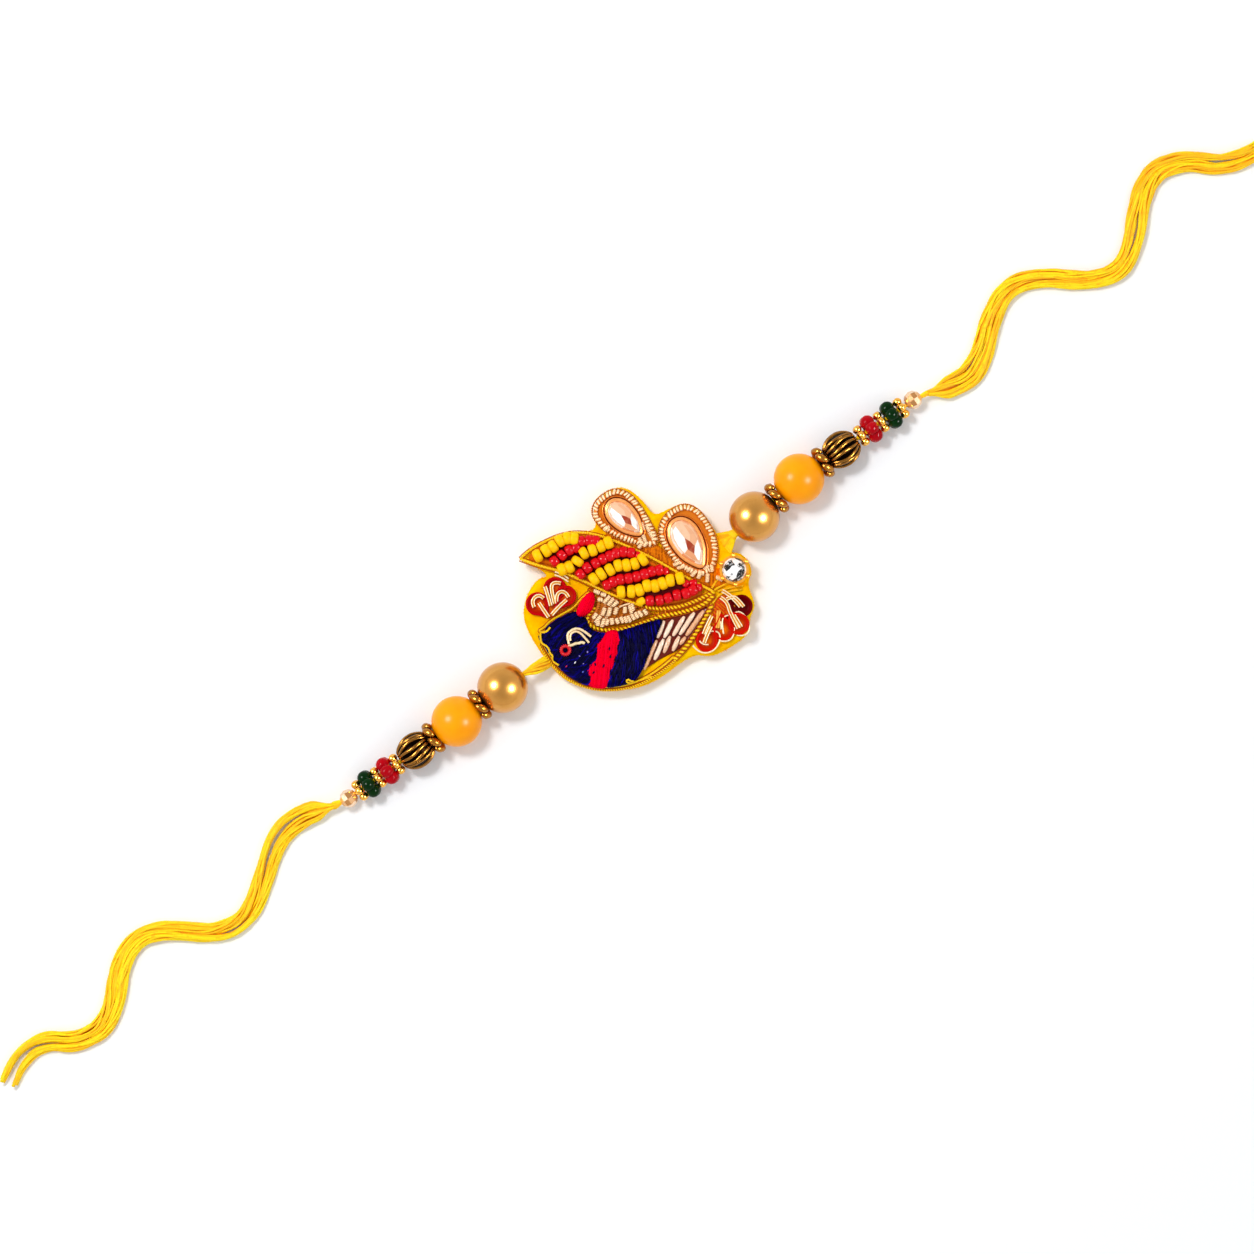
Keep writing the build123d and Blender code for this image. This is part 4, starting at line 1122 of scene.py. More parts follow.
def purl_frame(heap, line, core, wire, pitch, seed):
    """A closed coil over a warm core, with turns that lean and vary, and a gold wire outside it."""
    draw = np.random.default_rng(seed)
    heap.strand(line, core, 0.45, 8, closed=True)
    out = np.column_stack([outward(line[:, :2]), np.zeros(len(line))])
    beaded_cord(heap, line + out * (core + 0.24) - (0, 0, 0.08), 0.38, 0.56, closed=True, pitch=0.85)
    turns = int(line_length(line) / pitch)
    ahead, _, up = ways(line, closed=True)
    for k in range(turns):
        at = int(len(line) * (k + 0.35 * draw.random()) / turns) % len(line)
        angle = np.linspace(0.04, 0.6 + 0.18 * draw.random(), 8)[:, None] * math.pi
        reach = core + wire * 0.5 * draw.random()
        lean = (draw.random() - 0.2) * 0.25
        arch = reach * (np.cos(angle) * out[at] + np.sin(angle) * up[at])
        turn = line[at] + arch + lean * np.cos(angle) * ahead[at]
        heap.strand(turn, wire * (0.85 + 0.3 * draw.random()), 0.75 + 0.25 * draw.random(), 6)


purl_finish = cord_finish("cream_purl", srgb("FFE2B4"), srgb("D87A10"), srgb("6E2600"), 0.1, 0.42)
CRESCENT_CHIPS = [
    (-3.6, 3.9, -60, 0.8), (-3, 2.95, -50, 0.6), (-3.85, 2.6, -45, 0.5), (-3, 2.05, 10, 1.3),
    (-2.7, 1.4, 15, 1.2), (-2.3, 0.75, 5, 1), (-4.5, 0.8, 35, 1.1), (-3.8, 0.25, 40, 1.1),
    (-2.85, -0.2, 35, 1), (-6, 1, 20, 0.8), (-5.9, 0.3, 15, 1.2), (-6.2, -0.1, 50, 0.8),
    (-5.6, -0.6, 35, 1.2), (-5, -0.9, 30, 0.8), (-4.3, -1.2, 60, 0.8), (-3.6, -1.6, 80, 0.7),
    (-2.9, -1.9, 80, 0.8), (-2.4, -2.2, 80, 0.8), (-1.9, -2.4, 85, 0.9), (-1.2, -2.5, 85, 0.8),
    (-0.6, -2.6, 85, 0.8), (0, -2.75, 90, 0.8), (0.8, -3, 90, 0.7), (-1.6, -0.9, 50, 0.8),
    (-0.8, -1.3, 70, 1.2), (-0.4, -1.2, 70, 1)]
CRESCENT_COILS = [
    [(-6.9, 0.4), (-5.6, 1.5), (-4.4, 2.0), (-3.9, 3.3)],
    [(-6.7, -0.2), (-5.2, 0.6), (-3.6, 1.3), (-2.7, 2.5)],
    [(-6.0, -0.9), (-4.6, -0.2), (-3.2, 0.7), (-1.9, 1.4)],
    [(-4.9, -1.5), (-3.4, -0.8), (-2.2, 0.0), (-1.2, 0.5)],
    [(-3.6, -2.1), (-2.4, -1.3), (-1.2, -0.3), (-0.4, -0.6)],
    [(-2.4, -2.8), (-1.2, -1.8), (0.1, -1.4)],
    [(-1.2, -3.1), (-0.2, -2.2), (0.9, -2.4)], [(-0.2, -3.4), (0.7, -3.3), (1.4, -3.3)]]
BRIM_CRESCENT = [
    (-7.1, 0.9), (-6.5, 1.7), (-4.9, 2.2), (-4.0, 3.7), (-3.3, 3.6), (-2.9, 2.7), (0.3, -2.1),
    (1.5, -3.5), (1.5, -4.05), (-2.2, -3.0), (-4.9, -1.9), (-6.7, -0.4)]
heap = Heap()
slab(heap, ring_of(BRIM_CRESCENT), ON_BASE, pillow(ON_BASE, 0.6, 0.9), 0.35, 0.3)
for points in CRESCENT_COILS:
    coil_line = soft_line(points, FINE_STEP, 3.75)
    heap.strand(coil_line, 0.2, 0.3, 6)
    heap.coil(coil_line, 0.28, 0.09, 0.28, 0.55, 4, spread=0.5, per_turn=8)
for x, y, angle, length in CRESCENT_CHIPS:
    chip(heap, x, y, 4.2 + 0.1 * rng.random(), angle, length, 0.85 + 0.15 * rng.random())
loose_end = soft_line([(-2.1, -0.05), (-1.3, -0.15), (-0.4, -0.55)], FINE_STEP, 4.35)
twisted_cord(heap, loose_end, 0.3, 0.8)
heap.piece("crescent_purl", purl_finish, "purl_chips", ["brim_crescent"])

# %% Purl round the stones
UPPER_FRAME = [(3.15, 15.5), (9.5, 15.3), (8.95, 5.25), (7.3, 5.15), (3.15, 10.7)]
LOWER_FRAME = [(9.55, 6.9), (16.4, 7.6), (16.6, 0.0), (12.6, -4.2), (9.4, -0.7)]
UPPER_CHIPS = [
    (3.4, 11.2, -5, 0.9), (6.2, 6.0, 20, 0.8), (7.0, 5.7, 10, 0.8), (6.6, 6.6, 80, 0.9),
    (7.3, 6.6, 75, 1.0), (8.5, 6.4, 85, 0.9), (8.7, 7.6, 80, 1.1), (8.2, 8.3, 75, 1.1)]
LOWER_CHIPS = [
    (9.3, 0.35, -10, 1.1), (9.5, -0.5, -20, 1.2), (10.3, -1.4, -40, 0.9), (10.6, -2.4, 15, 1.1),
    (11.2, -3.1, 30, 1.2), (11.9, -4.2, 50, 1.2), (12.7, -2.8, 0, 0.8), (13.3, -3.4, 60, 0.8),
    (13.4, -5.4, -60, 1)]
for place, outline, chips, seed in (
        ("upper", UPPER_FRAME, UPPER_CHIPS, 41), ("lower", LOWER_FRAME, LOWER_CHIPS, 42)):
    heap = Heap()
    slab(heap, ring_of(outline), ON_BASE, pillow(ON_BASE, 0.3, 0.5), 0.35, 0.46)
    purl_frame(heap, soft_line(outline, 0.1, 3.5, closed=True), 0.32, 0.2, 0.56, seed)
    for x, y, angle, length in chips:
        chip(heap, x, y, 3.85, angle, length, 0.95, 0.12, 0.24)
    heap.piece(place + "_purl", purl_finish, "copper_coil", [place + "_frame"])

# %% [markdown]
# The drop stones are glass, foiled on the back. What sells a faceted stone from above is that each
# facet is one even patch of light, quite unlike its neighbour. The facets here are flat faces set from
# the photograph, and each one carries the tint of what it mirrors: white, peach or brown.
# Each stone sits in a rubbed copper band, with a bright wire round it and a dark ring of painted shade
# between.

# %% Drop stones
SLIM = 0.9
DROP_SHAPE = [
    (-1.08, -0.5), (-1.08, 0.5), (-0.25, 1.12), (0.85, 1.12), (1.75, 0.86), (2.78, 0.14),
    (2.78, -0.14), (1.75, -0.86), (0.85, -1.12), (-0.25, -1.12)]
STONE_FACETS = [
    (1.0, [(-0.76, -0.2), (-0.56, -0.6), (0.0, -0.82), (0.68, -0.84), (1.36, -0.7), (1.2, -0.32),
           (0.38, -0.05)]),
    (0.05, [(0.38, -0.05), (1.2, -0.32), (1.76, -0.03), (1.28, 0.35), (0.8, 0.2)]),
    (0.62, [(-0.76, -0.2), (0.38, -0.05), (0.8, 0.2), (0.3, 0.5), (-0.5, 0.45), (-0.78, 0.15)]),
    (0.5, [(-0.5, 0.45), (0.3, 0.5), (0.8, 0.2), (1.28, 0.35), (0.96, 0.82), (0.28, 0.84), (-0.4, 0.66)]),
    (0.97, [(1.28, 0.35), (1.76, -0.03), (2.28, -0.05), (2.4, 0.06), (1.75, 0.62), (0.96, 0.82)]),
    (0.33, [(1.36, -0.7), (2.0, -0.4), (2.4, 0.0), (2.28, -0.05), (1.76, -0.03), (1.2, -0.32)])]
RING_TINTS = [0.6, 0.5, 0.62, 0.55, 0.5, 0.62, 0.95, 0.98, 0.9, 0.35, 0.4, 0.95, 0.98, 0.9, 0.98, 0.75]
FOOT_LEVEL = 3.65
GIRDLE_LEVEL = 4.4
CROWN_LEVEL = 5.0
TABLE_LEVEL = 5.12
FACET_DEPTH = 0.16


def drop_ring(drop, grow, level, count):
    """Evenly spread points round a stone's outline, moved out by grow millimetres."""
    x, y, heading, radius = drop
    turn = math.radians(heading)
    shape = soft_line([(radius * u, radius * v * SLIM) for u, v in DROP_SHAPE], 0.05, 0, closed=True)
    shape[:, :2] += grow * outward(shape[:, :2])
    shape = shape[np.linspace(0, len(shape), count, endpoint=False).astype(int)]
    along = np.array([math.cos(turn), math.sin(turn), 0.0])
    side = np.array([-along[1], along[0], 0.0])
    return np.array([x, y, level]) + shape[:, :1] * along + shape[:, 1:2] * side


def cut_drop(name, drop, node, material):
    """A flat-backed drop stone: a girdle, a ring of crown facets and a table cut in large facets."""
    heap = Heap()
    x, y, heading, radius = drop
    turn = math.radians(heading)
    count = len(RING_TINTS)
    outer = drop_ring(drop, 0.0, GIRDLE_LEVEL, count)
    inner = drop_ring(drop, -0.17 * radius, CROWN_LEVEL, count)
    foot = drop_ring(drop, 0.0, FOOT_LEVEL, count)
    for i in range(count):
        j = (i + 1) % count
        heap.add([outer[i], inner[i], inner[j], outer[j]], [(0, 1, 2, 3)], RING_TINTS[i])
        heap.add([foot[i], outer[i], outer[j], foot[j]], [(0, 1, 2, 3)], 0.4)
    heap.add(foot, [tuple(range(count))], 0.3)
    heap.add(inner, [tuple(range(count - 1, -1, -1))], 0.6)
    for tint, points in STONE_FACETS:
        facet = np.array([
            (x + radius * (u * math.cos(turn) - SLIM * v * math.sin(turn)),
             y + radius * (u * math.sin(turn) + SLIM * v * math.cos(turn)), TABLE_LEVEL)
            for u, v in points])
        tilt = (facet - facet.mean(0)) @ np.array([math.cos(7 * tint), math.sin(7 * tint), 0.0])
        facet[:, 2] += 0.04 * tilt
        below = facet - (0, 0, FACET_DEPTH)
        size = len(facet)
        order = list(range(size))
        if np.cross(facet[1] - facet[0], facet[2] - facet[0])[2] < 0:
            order.reverse()
        walls = [(a, a + size, b + size, b) for a, b in zip(order, order[1:] + order[:1])]
        under = tuple(i + size for i in reversed(order))
        heap.add(np.vstack([facet, below]), [tuple(order), under] + walls, tint)
    heap.piece(name, material, "peach_stone", [node], sharp=True)


# The band of tint 0.0 is a dark ring that stands for the shade in the gap.
# Each row says how far outside the stone, the level, the thickness, the tint and height over width.
BEZEL_BANDS = [
    (0.2, 4.2, 0.26, 0.72, 1.6), (0.06, 4.5, 0.12, 1.0, 1.0), (0.5, 3.75, 0.14, 0.0, 1.0),
    (0.72, 3.6, 0.16, 0.55, 1.2)]


def bezel(name, drop, node, material):
    """A copper band with a rubbed lip over the stone's edge, then a dark painted-shade gap and a bright
    wire.
    """
    heap = Heap()
    for grow, level, radius, tint, flat in BEZEL_BANDS:
        band = drop_ring(drop, grow, level, 90)
        heap.strand(band, radius, tint, 10, closed=True, flat=flat)
    slab(heap, drop_ring(drop, 0.75, 0, 60)[::-1, :2], ON_BASE, pillow(ON_BASE, 0.5, 0.3), 0.3, 0.3)
    heap.piece(name, material, "copper_bezel", [node])


UPPER_DROP = (6.35, 12.3, -79, 1.7)
LOWER_DROP = (12.65, 3.7, -94, 2.08)
copper = cord_finish("copper_bezel", srgb("FFB46C"), srgb("E0761C"), srgb("5A1600"), 0.4, 0.26)
paint = Paint("peach_glass")
tone = paint.tint()
cloud = paint.noise(0.8, 2.0)
colour = paint.mix(tone.ramp(0.0, 0.35), srgb("A02C14"), srgb("E8A070"))
colour = paint.mix(tone.ramp(0.35, 0.75), colour, srgb("F4D0AE"))
colour = paint.mix(tone.ramp(0.75, 1.0), colour, srgb("FFFDFA"))
colour = paint.mix(cloud.ramp(0.45, 0.8) * 0.3, colour, srgb("D99A74"))
peach_glass = paint.finish(
    Base_Color=colour, Roughness=0.08, Normal=paint.bump(cloud, 0.01), Specular_IOR_Level=0.3)
for level, drop in (("upper", UPPER_DROP), ("lower", LOWER_DROP)):
    cut_drop(level + "_drop", drop, level + "_stone", peach_glass)
    bezel(level + "_bezel", drop, level + "_setting", copper)

# %% [markdown]
# The round crystal is a brilliant cut. Its corners lie on five rings: the table's eight, eight more
# below them, and three rings of sixteen down to the foot. Star, kite and half facets join them, and
# each takes a tint of its own, as if it mirrored its own bit of the room.

# %% Round crystal
# Each ring says its share of the radius, its level, its corners and how far they are turned.
CRYSTAL_RINGS = [
    (0.38, 5.85, 8, 0.0), (0.66, 5.55, 8, 0.5), (0.86, 5.1, 16, 0.0), (1.0, 4.5, 16, 0.5),
    (1.0, 4.2, 16, 0.5)]


def flat_facet(heap, corners, tint):
    """One flat face between those corners."""
    heap.add(corners, [tuple(range(len(corners)))], tint)


def round_crystal(name, x, y, radius, node, material, seed):
    """A brilliant cut: a table, star, kite and half facets in rings, each with its own reflection."""
    draw = np.random.default_rng(seed)
    heap = Heap()
    rings = []
    for share, level, count, shift in CRYSTAL_RINGS:
        angle = 2 * math.pi * (np.arange(count) + shift) / count
        rings.append(np.column_stack([
            x + radius * share * np.cos(angle), y + radius * share * np.sin(angle), np.full(count, level)]))
    table, upper, middle, girdle, foot = rings
    flat_facet(heap, table, 0.95)
    for i in range(8):
        j = (i + 1) % 8
        before = middle[2 * i + 1]
        tip = middle[(2 * i + 2) % 16]
        beyond = middle[(2 * i + 3) % 16]
        flat_facet(heap, [table[i], upper[i], table[j]], draw.choice([0.0, 0.4, 1.0]))
        flat_facet(heap, [upper[i], before, tip, upper[j], table[j]], draw.choice([0.0, 0.1, 0.6, 1.0]))
        flat_facet(heap, [upper[j], tip, beyond], draw.choice([0.05, 0.9]))
    for high, low in ((middle, girdle), (girdle, foot)):
        for i in range(16):
            j = (i + 1) % 16
            flat_facet(heap, [high[i], low[i], low[j], high[j]], draw.choice([0.0, 0.4, 1.0]))
    flat_facet(heap, foot[::-1], 0.2)
    heap.piece(name, material, "clear_stone", [node], sharp=True)


paint = Paint("clear_crystal")
tone = paint.tint()
spark = paint.noise(0.45, 3.0, 0.8)
colour = paint.mix((tone * 0.7 + spark * 2.2 - 0.95).ramp(0.2, 0.55), srgb("14100C"), srgb("FFFFFF"))
clear_crystal = paint.finish(
    Base_Color=colour, Roughness=0.08, Normal=paint.bump(spark, 0.02), Specular_IOR_Level=0.3)
round_crystal("round_crystal", 16.05, -5.6, 1.92, "round_stone", clear_crystal, 51)

# %% [markdown]
# Each little flower is cut from foiled petals, dished like a spoon: a dark red rim stands up and the
# hollow glows orange. A petal is the outline of a round end and a pointed root, filled as the pads
# are. Its height rises to the rim and sinks behind it, and its colour follows the same distance.

# %% Petals
PETAL_POINTS = 40
PETAL_THICKNESS = 0.35
PETAL_RIM = 0.42
PETAL_BOWL = 0.12
PETAL_RISE = 0.12


def petal_edge(x, y, radius, root_x, root_y):
    """The outline of a round end drawn out to a root."""
    root = math.atan2(root_y - y, root_x - x)
    reach = math.hypot(root_x - x, root_y - y)
    spread = math.acos(radius / reach)
    angles = np.linspace(root + spread, root + 2 * math.pi - spread, PETAL_POINTS)
    return np.array([(root_x, root_y)] + [
        (x + radius * math.cos(a), y + radius * math.sin(a)) for a in angles])


def dished(bottom):
    """A height that climbs to the rim and falls away inside it."""
    def height(distance):
        rim = np.exp(-((distance - 0.22) / 0.2) ** 2)
        bowl = np.clip((distance - 0.4) / 0.9, 0, 1)
        return bottom + PETAL_THICKNESS + PETAL_RIM * rim + PETAL_BOWL * (1 - bowl)
    return height


def petal(side, k, shape, material, slot):
    """The k-th petal of a flower, a little higher than the one before."""
    heap = Heap()
    slab(heap, petal_edge(*shape), ON_BASE, dished(ON_BASE + PETAL_RISE * k), 0.16, 0.5)
    heap.piece("%s_foil_%d" % (side, k + 1), material, slot, ["%s_petal_%d" % (side, k + 1)])


def foil(name, rim, inner, glow, wide):
    """Painted foil: the rim colour gives way to a glow in the hollow."""
    paint = Paint(name)
    patch = paint.noise(0.8, 3.0, 0.6)
    depth = paint.run() + patch * 0.5 - 0.25
    colour = paint.mix(depth.ramp(0.25, wide), rim, inner)
    colour = paint.mix((depth - 0.25).ramp(wide * 0.6, wide * 1.7), colour, glow)
    return paint.finish(
        Base_Color=colour, Roughness=0.4, Normal=paint.bump(patch, 0.02), Specular_IOR_Level=0.02)


red_foil = foil("red_foil", srgb("C4040E"), srgb("B41E00"), srgb("D8500A"), 0.75)
orange_foil = foil("orange_foil", srgb("D01000"), srgb("B82600"), srgb("F07C00"), 0.8)
maroon_foil = foil("maroon_foil", srgb("6E0004"), srgb("560002"), srgb("6A0204"), 0.9)
LEFT_PETALS = [
    (-12.35, 7.75, 1.85, -12.2, 5.1), (-8.7, 8.15, 1.8, -10.4, 6.2), (-7.95, 6.2, 1.65, -10.8, 5.3)]
RIGHT_PETALS = [
    (13.7, -10.9, 1.8, 12.7, -8.6), (6.1, -12.3, 1.75, 8.4, -11.1), (9.3, -12.4, 1.7, 10.4, -9.8),
    (11.75, -13.0, 1.7, 11.6, -10.4)]
for k, shape in enumerate(LEFT_PETALS):
    petal("left", k, shape, red_foil, "red_foil")
for k, shape in enumerate(RIGHT_PETALS):
    if k == 0:
        petal("right", k, shape, maroon_foil, "maroon_foil")
    else:
        petal("right", k, shape, orange_foil, "red_foil")

# %% [markdown]
# Stiff wire is sewn over the flowers as stamens, in pairs with a flat gold ribbon between them.
# Single wires outline the lower petals on the right. All of it wears the cord finish, in cream.

# %% Flower wires
STAMEN_LEVEL = 4.2
STAMEN_GAP = 0.2
STAMEN_WIRE = 0.085


def stamen(heap, points):
    """A pair of wires with a flat gold ribbon between them."""
    line = soft_line(points, FINE_STEP, STAMEN_LEVEL)
    share = np.linspace(0, 1, len(line))
    line[:, 2] += 0.14 * np.sin(math.pi * share) - 0.08
    heap.strand(line - (0, 0, 0.08), STAMEN_GAP * 1.1, 0.42, 6, flat=0.35)
    heap.strand(offset(line, STAMEN_GAP), STAMEN_WIRE, 0.85 + 0.15 * rng.random(), 6)
    heap.strand(offset(line, -STAMEN_GAP), STAMEN_WIRE, 0.75 + 0.2 * rng.random(), 6)


LEFT_STAMENS = [
    [(-12.1, 5.0), (-12.1, 6.4), (-12.05, 7.75)],
    [(-13.05, 7.6), (-12.9, 8.7), (-11.2, 8.9), (-11.05, 7.9)],
    [(-10.8, 6.3), (-10.3, 7.6), (-9.8, 9.3)],
    [(-10.1, 6.2), (-9.4, 8.2), (-8.4, 9.3), (-7.5, 8.3)],
    [(-11.5, 5.05), (-9.9, 5.5), (-8.2, 5.65)],
    [(-9.7, 6.3), (-9.0, 7.4), (-7.6, 7.0), (-7.75, 5.8)]]
LEFT_WIRES = [[(-7.5, 9.9), (-6.7, 9.0), (-6.4, 7.8)], [(-7.2, 10.3), (-6.2, 9.1), (-6.1, 8.2)]]
RIGHT_STAMENS = [
    [(9.0, -9.5), (7.7, -10.2), (6.3, -11.1)],
    [(8.0, -10.8), (6.8, -11.4), (5.6, -12.3)],
    [(11.8, -7.9), (12.3, -9.0), (11.6, -10.8), (11.3, -13.5)],
    [(11.95, -11.2), (11.9, -12.4), (11.8, -13.6)],
    [(12.6, -7.2), (13.4, -8.6), (13.5, -10.9)],
    [(12.4, -8.7), (13.5, -8.8), (13.9, -10.0), (13.95, -11.2)]]
PETAL_WIRES = [
    [(3.9, -11.6), (4.0, -13.0), (5.4, -14.1), (7.0, -14.0), (8.3, -13.0), (8.4, -11.9), (7.5, -11.4)],
    [(5.2, -11.6), (5.1, -12.4), (6.0, -12.9)],
    [(7.8, -13.4), (8.5, -14.2), (10.0, -14.2), (10.9, -13.0)],
    [(8.9, -12.9), (9.7, -11.2), (10.6, -10.6), (11.3, -11.0)],
    [(9.0, -12.1), (9.7, -11.0)],
    [(10.5, -14.2), (11.3, -15.1), (12.8, -14.7), (13.4, -12.9), (13.0, -11.2), (12.2, -11.2)]]
cream_wire = cord_finish("cream_wire", srgb("FFEDC4"), srgb("D8922C"), srgb("8A3C08"), 0.1, 0.35)
heap = Heap()
for points in LEFT_STAMENS:
    stamen(heap, points)
for points in LEFT_WIRES:
    heap.strand(soft_line(points, FINE_STEP, 3.9), 0.13, 0.8, 6)
heap.piece("left_flower_wire", cream_wire, "cream_wire", ["left_stamens"])
heap = Heap()
for points in RIGHT_STAMENS:
    stamen(heap, points)
for points in PETAL_WIRES:
    heap.strand(soft_line(points, LINE_STEP, 3.9), 0.12, 0.8, 6)
ribbon = soft_line([(8.6, -11.6), (9.5, -10.6), (10.4, -9.4)], LINE_STEP, 4.0)
heap.strand(ribbon, 0.36, 0.45, 8, flat=0.3)
heap.piece("right_flower_wire", cream_wire, "cream_wire", ["right_stamens"])

# %% [markdown]
# The eye is a loop of smooth wire, a little uneven in thickness, beside a ring of red coil. Both are
# sewn on the navy satin.

# %% Eye
EYE_LEVEL = 5.1
EYE_LOOP = [
    (0.2, [(-11.9, -0.3), (-11.6, 0.5), (-11.2, 1.15), (-10.4, 1.3), (-9.5, 1.1), (-8.8, 0.2),
           (-8.4, -1.3)]),
    (0.18, [(-11.4, 0.0), (-11.1, 0.7), (-10.4, 0.95), (-9.7, 0.7), (-9.3, -0.2), (-9.2, -1.9)]),
    (0.22, [(-12.2, -0.45), (-11.6, -0.7), (-11.0, -0.75), (-10.5, -1.1), (-10.1, -1.1), (-9.8, -1.6)])]
EYE_RING = (-12.9, -0.75, 0.68)
heap = Heap()
for wire, points in EYE_LOOP:
    eye_line = soft_line(points, FINE_STEP, EYE_LEVEL)
    heap.strand(eye_line, wire * (1 + 0.07 * np.sin(np.arange(len(eye_line)) * 1.3)), 0.72, 8)
heap.piece("eye_wire", cream_wire, "cream_wire", ["eye_loop"])
heap = Heap()
x, y, radius = EYE_RING
angle = np.radians(np.linspace(0, 352, 44))
eye_ring = np.column_stack([
    x + radius * np.cos(angle), y + radius * np.sin(angle), np.full(len(angle), EYE_LEVEL + 0.05)])
heap.strand(eye_ring, 0.2, 0.3, 7, closed=True)
heap.coil(eye_ring, 0.23, 0.09, 0.24, 0.7, 5, closed=True, per_turn=8)
red_coil = satin("red_coil", srgb("C80010"), srgb("F01424"), 0.35, 0.3)
heap.piece("eye_coil", red_coil, "red_coil", ["eye_ring"])

# %% [markdown]
# The bird's wing is a fan of bugle beads: long glass tubes, pink and cream, with a twist. The twist is
# in the shape: six low ridges wind along each tube, so the light runs along it in spirals.

# %% Bugle beads
BUGLES = [
    (2.45, -5.85, 0.0, -7.45), (-0.25, -7.65, -4.6, -10.3), (3.65, -6.5, 0.9, -8.05),
    (0.75, -8.15, -2.35, -10.0), (5.45, -7.1, 2.2, -8.6), (1.85, -8.35, -0.5, -9.95),
    (7.1, -7.5, 3.15, -9.05), (3.0, -9.2, 0.8, -10.5), (8.45, -8.1, 3.9, -9.75),
    (3.75, -9.85, 2.3, -10.3)]
BUGLE_LEVEL = 3.6
BUGLE_RADIUS = 0.37
BUGLE_SIDES = 24
BUGLE_RIDGES = 6
WING_UNDERLAY = [
    (2.6, -5.4), (0.2, -6.9), (-2.2, -8.4), (-4.9, -9.9), (-4.4, -10.4), (-1.4, -10.4), (1.8, -11.0),
    (4.6, -10.4), (8.6, -8.6), (9.6, -7.7), (6.4, -6.8), (4.2, -6.0)]


def bugle(heap, x1, y1, x2, y2, tint):
    """A twisted glass tube with narrowed ends. Its ridges turn one radian in a millimetre."""
    start = np.array([x1, y1, BUGLE_LEVEL])
    end = np.array([x2, y2, BUGLE_LEVEL])
    way = unit(end - start)
    reach = np.linalg.norm(end - start)
    side = np.array([-way[1], way[0], 0.0])
    along = np.concatenate([[0, 0.06], np.linspace(0.2, reach - 0.2, 22), [reach - 0.06, reach]])
    share = 0.35 + 0.65 * np.sqrt(np.clip(np.minimum(along, reach - along) / 0.9, 0, 1))
    spin = np.arange(BUGLE_SIDES) * 2 * math.pi / BUGLE_SIDES
    rim = np.cos(spin)[:, None] * side + np.sin(spin)[:, None] * np.array([0, 0, 1.0])
    rows = []
    for distance, size in zip(along, share):
        ridge = 1 + 0.035 * np.cos(BUGLE_RIDGES * (spin - distance))
        rows.append(start + way * distance + BUGLE_RADIUS * size * ridge[:, None] * rim)
    heap.add(np.vstack(rows), skin(len(rows), BUGLE_SIDES), tint)


heap = Heap()
# A dark underlay under the fan, painted as the shade between the tubes.
slab(heap, ring_of(WING_UNDERLAY), ON_BASE, pillow(ON_BASE, 0.3, 0.4), 0.35, 0.0)
for row in BUGLES:
    bugle(heap, *row, 0.6 + 0.4 * rng.random())
paint = Paint("pink_glass")
kind = paint.tint()
sheen = paint.noise(0.3, 2.0, 0.6)
colour = paint.mix((kind * 1.5 - 0.85 + sheen * 0.6).ramp(0.2, 0.9), srgb("E09658"), srgb("FCE2C8"))
# Painted shade: the glass darkens where tubes crowd, and the underlay (tint 0) is dark brown.
colour = paint.mix(paint.recess(0.5).ramp(0.15, 0.85), srgb("7A1800"), colour)
colour = paint.mix(kind.ramp(0.2, 0.3), srgb("6A1400"), colour)
bugle_glass = paint.finish(
    Base_Color=colour, Roughness=0.22, Normal=paint.bump(sheen, 0.01), Specular_IOR_Level=0.25)
heap.piece("bugle_wing", bugle_glass, "pink_bugle", ["bugle_beads"])

# %% [markdown]
# Between the leaf and the stones, and under both flowers, the felt is faced with scraps of copper and
# red cloth. They lie on the felt as thin quilted patches, with loose stitches over them.

# %% Facing cloth
PATCHES = [
    (0.42, [(2.2, 10.6), (3.2, 9.2), (5, 6.2), (7, 2.6), (8.6, -0.9), (10.2, -3.6), (11.4, -6),
            (13.6, -7), (15, -6.4), (14.6, -4.2), (13.2, -3.4), (10.4, -2), (9, 1), (8.8, 4.2),
            (7.6, 5.2), (4.4, 8.6), (3.4, 10.6)]),
    (0.8, [(-13.3, 6.6), (-12.6, 4.7), (-9.2, 4.3), (-6.8, 4.9), (-6.4, 6.4), (-8, 7.6),
           (-10.4, 8.0), (-12, 7.4)]),
    (0.9, [(9.3, -9.3), (11.2, -7.6), (13.2, -8), (13.9, -10), (12.4, -11), (10.6, -11.2),
           (9, -11.6), (7.6, -11.2)]),
    (0.1, [(-5.4, 3.9), (-4.4, 5.6), (-3.2, 4.2), (-2.2, 2.4), (-1.0, 0.6), (0.9, -2.4), (2.0, -4.4),
           (0.8, -3.4), (-2.9, 2.9), (-3.4, 3.8)])]
heap = Heap()
for k, (tint, points) in enumerate(PATCHES):
    ring = ring_of(points)
    height = pillow(ON_BASE, 0.28, 0.5)
    slab(heap, ring, 2.9, height, 0.3, tint, 0.05, k + 1)
    tints = (max(0.0, tint - 0.3), min(1.0, tint + 0.3))
    stitches(heap, ring, height, 55 + 20 * k, 0.45, 61 + k, 0.13, 1.6, tints, 0.3, 0.2)
paint = Paint("facing_cloth")
mottle = paint.noise(0.5, 4.0, 0.7)
tone = paint.tint()
colour = paint.mix((tone + mottle * 0.7 - 0.35).ramp(-0.1, 0.45), srgb("8A2A00"), srgb("E47C00"))
colour = paint.mix((tone + mottle * 0.4 - 0.2).ramp(0.6, 0.95), colour, srgb("D83A10"))
facing_cloth = paint.finish(
    Base_Color=colour, Roughness=0.6, Normal=paint.bump(mottle, 0.05), Specular_IOR_Level=0.03)
heap.piece("facing_patches", facing_cloth, "red_foil")

# %% [markdown]
# A few stray stitches dot the navy head in red, white, lilac and blue, and specks of navy show
# through the red stripe. They share one finish: the tint says which colour a stitch has.

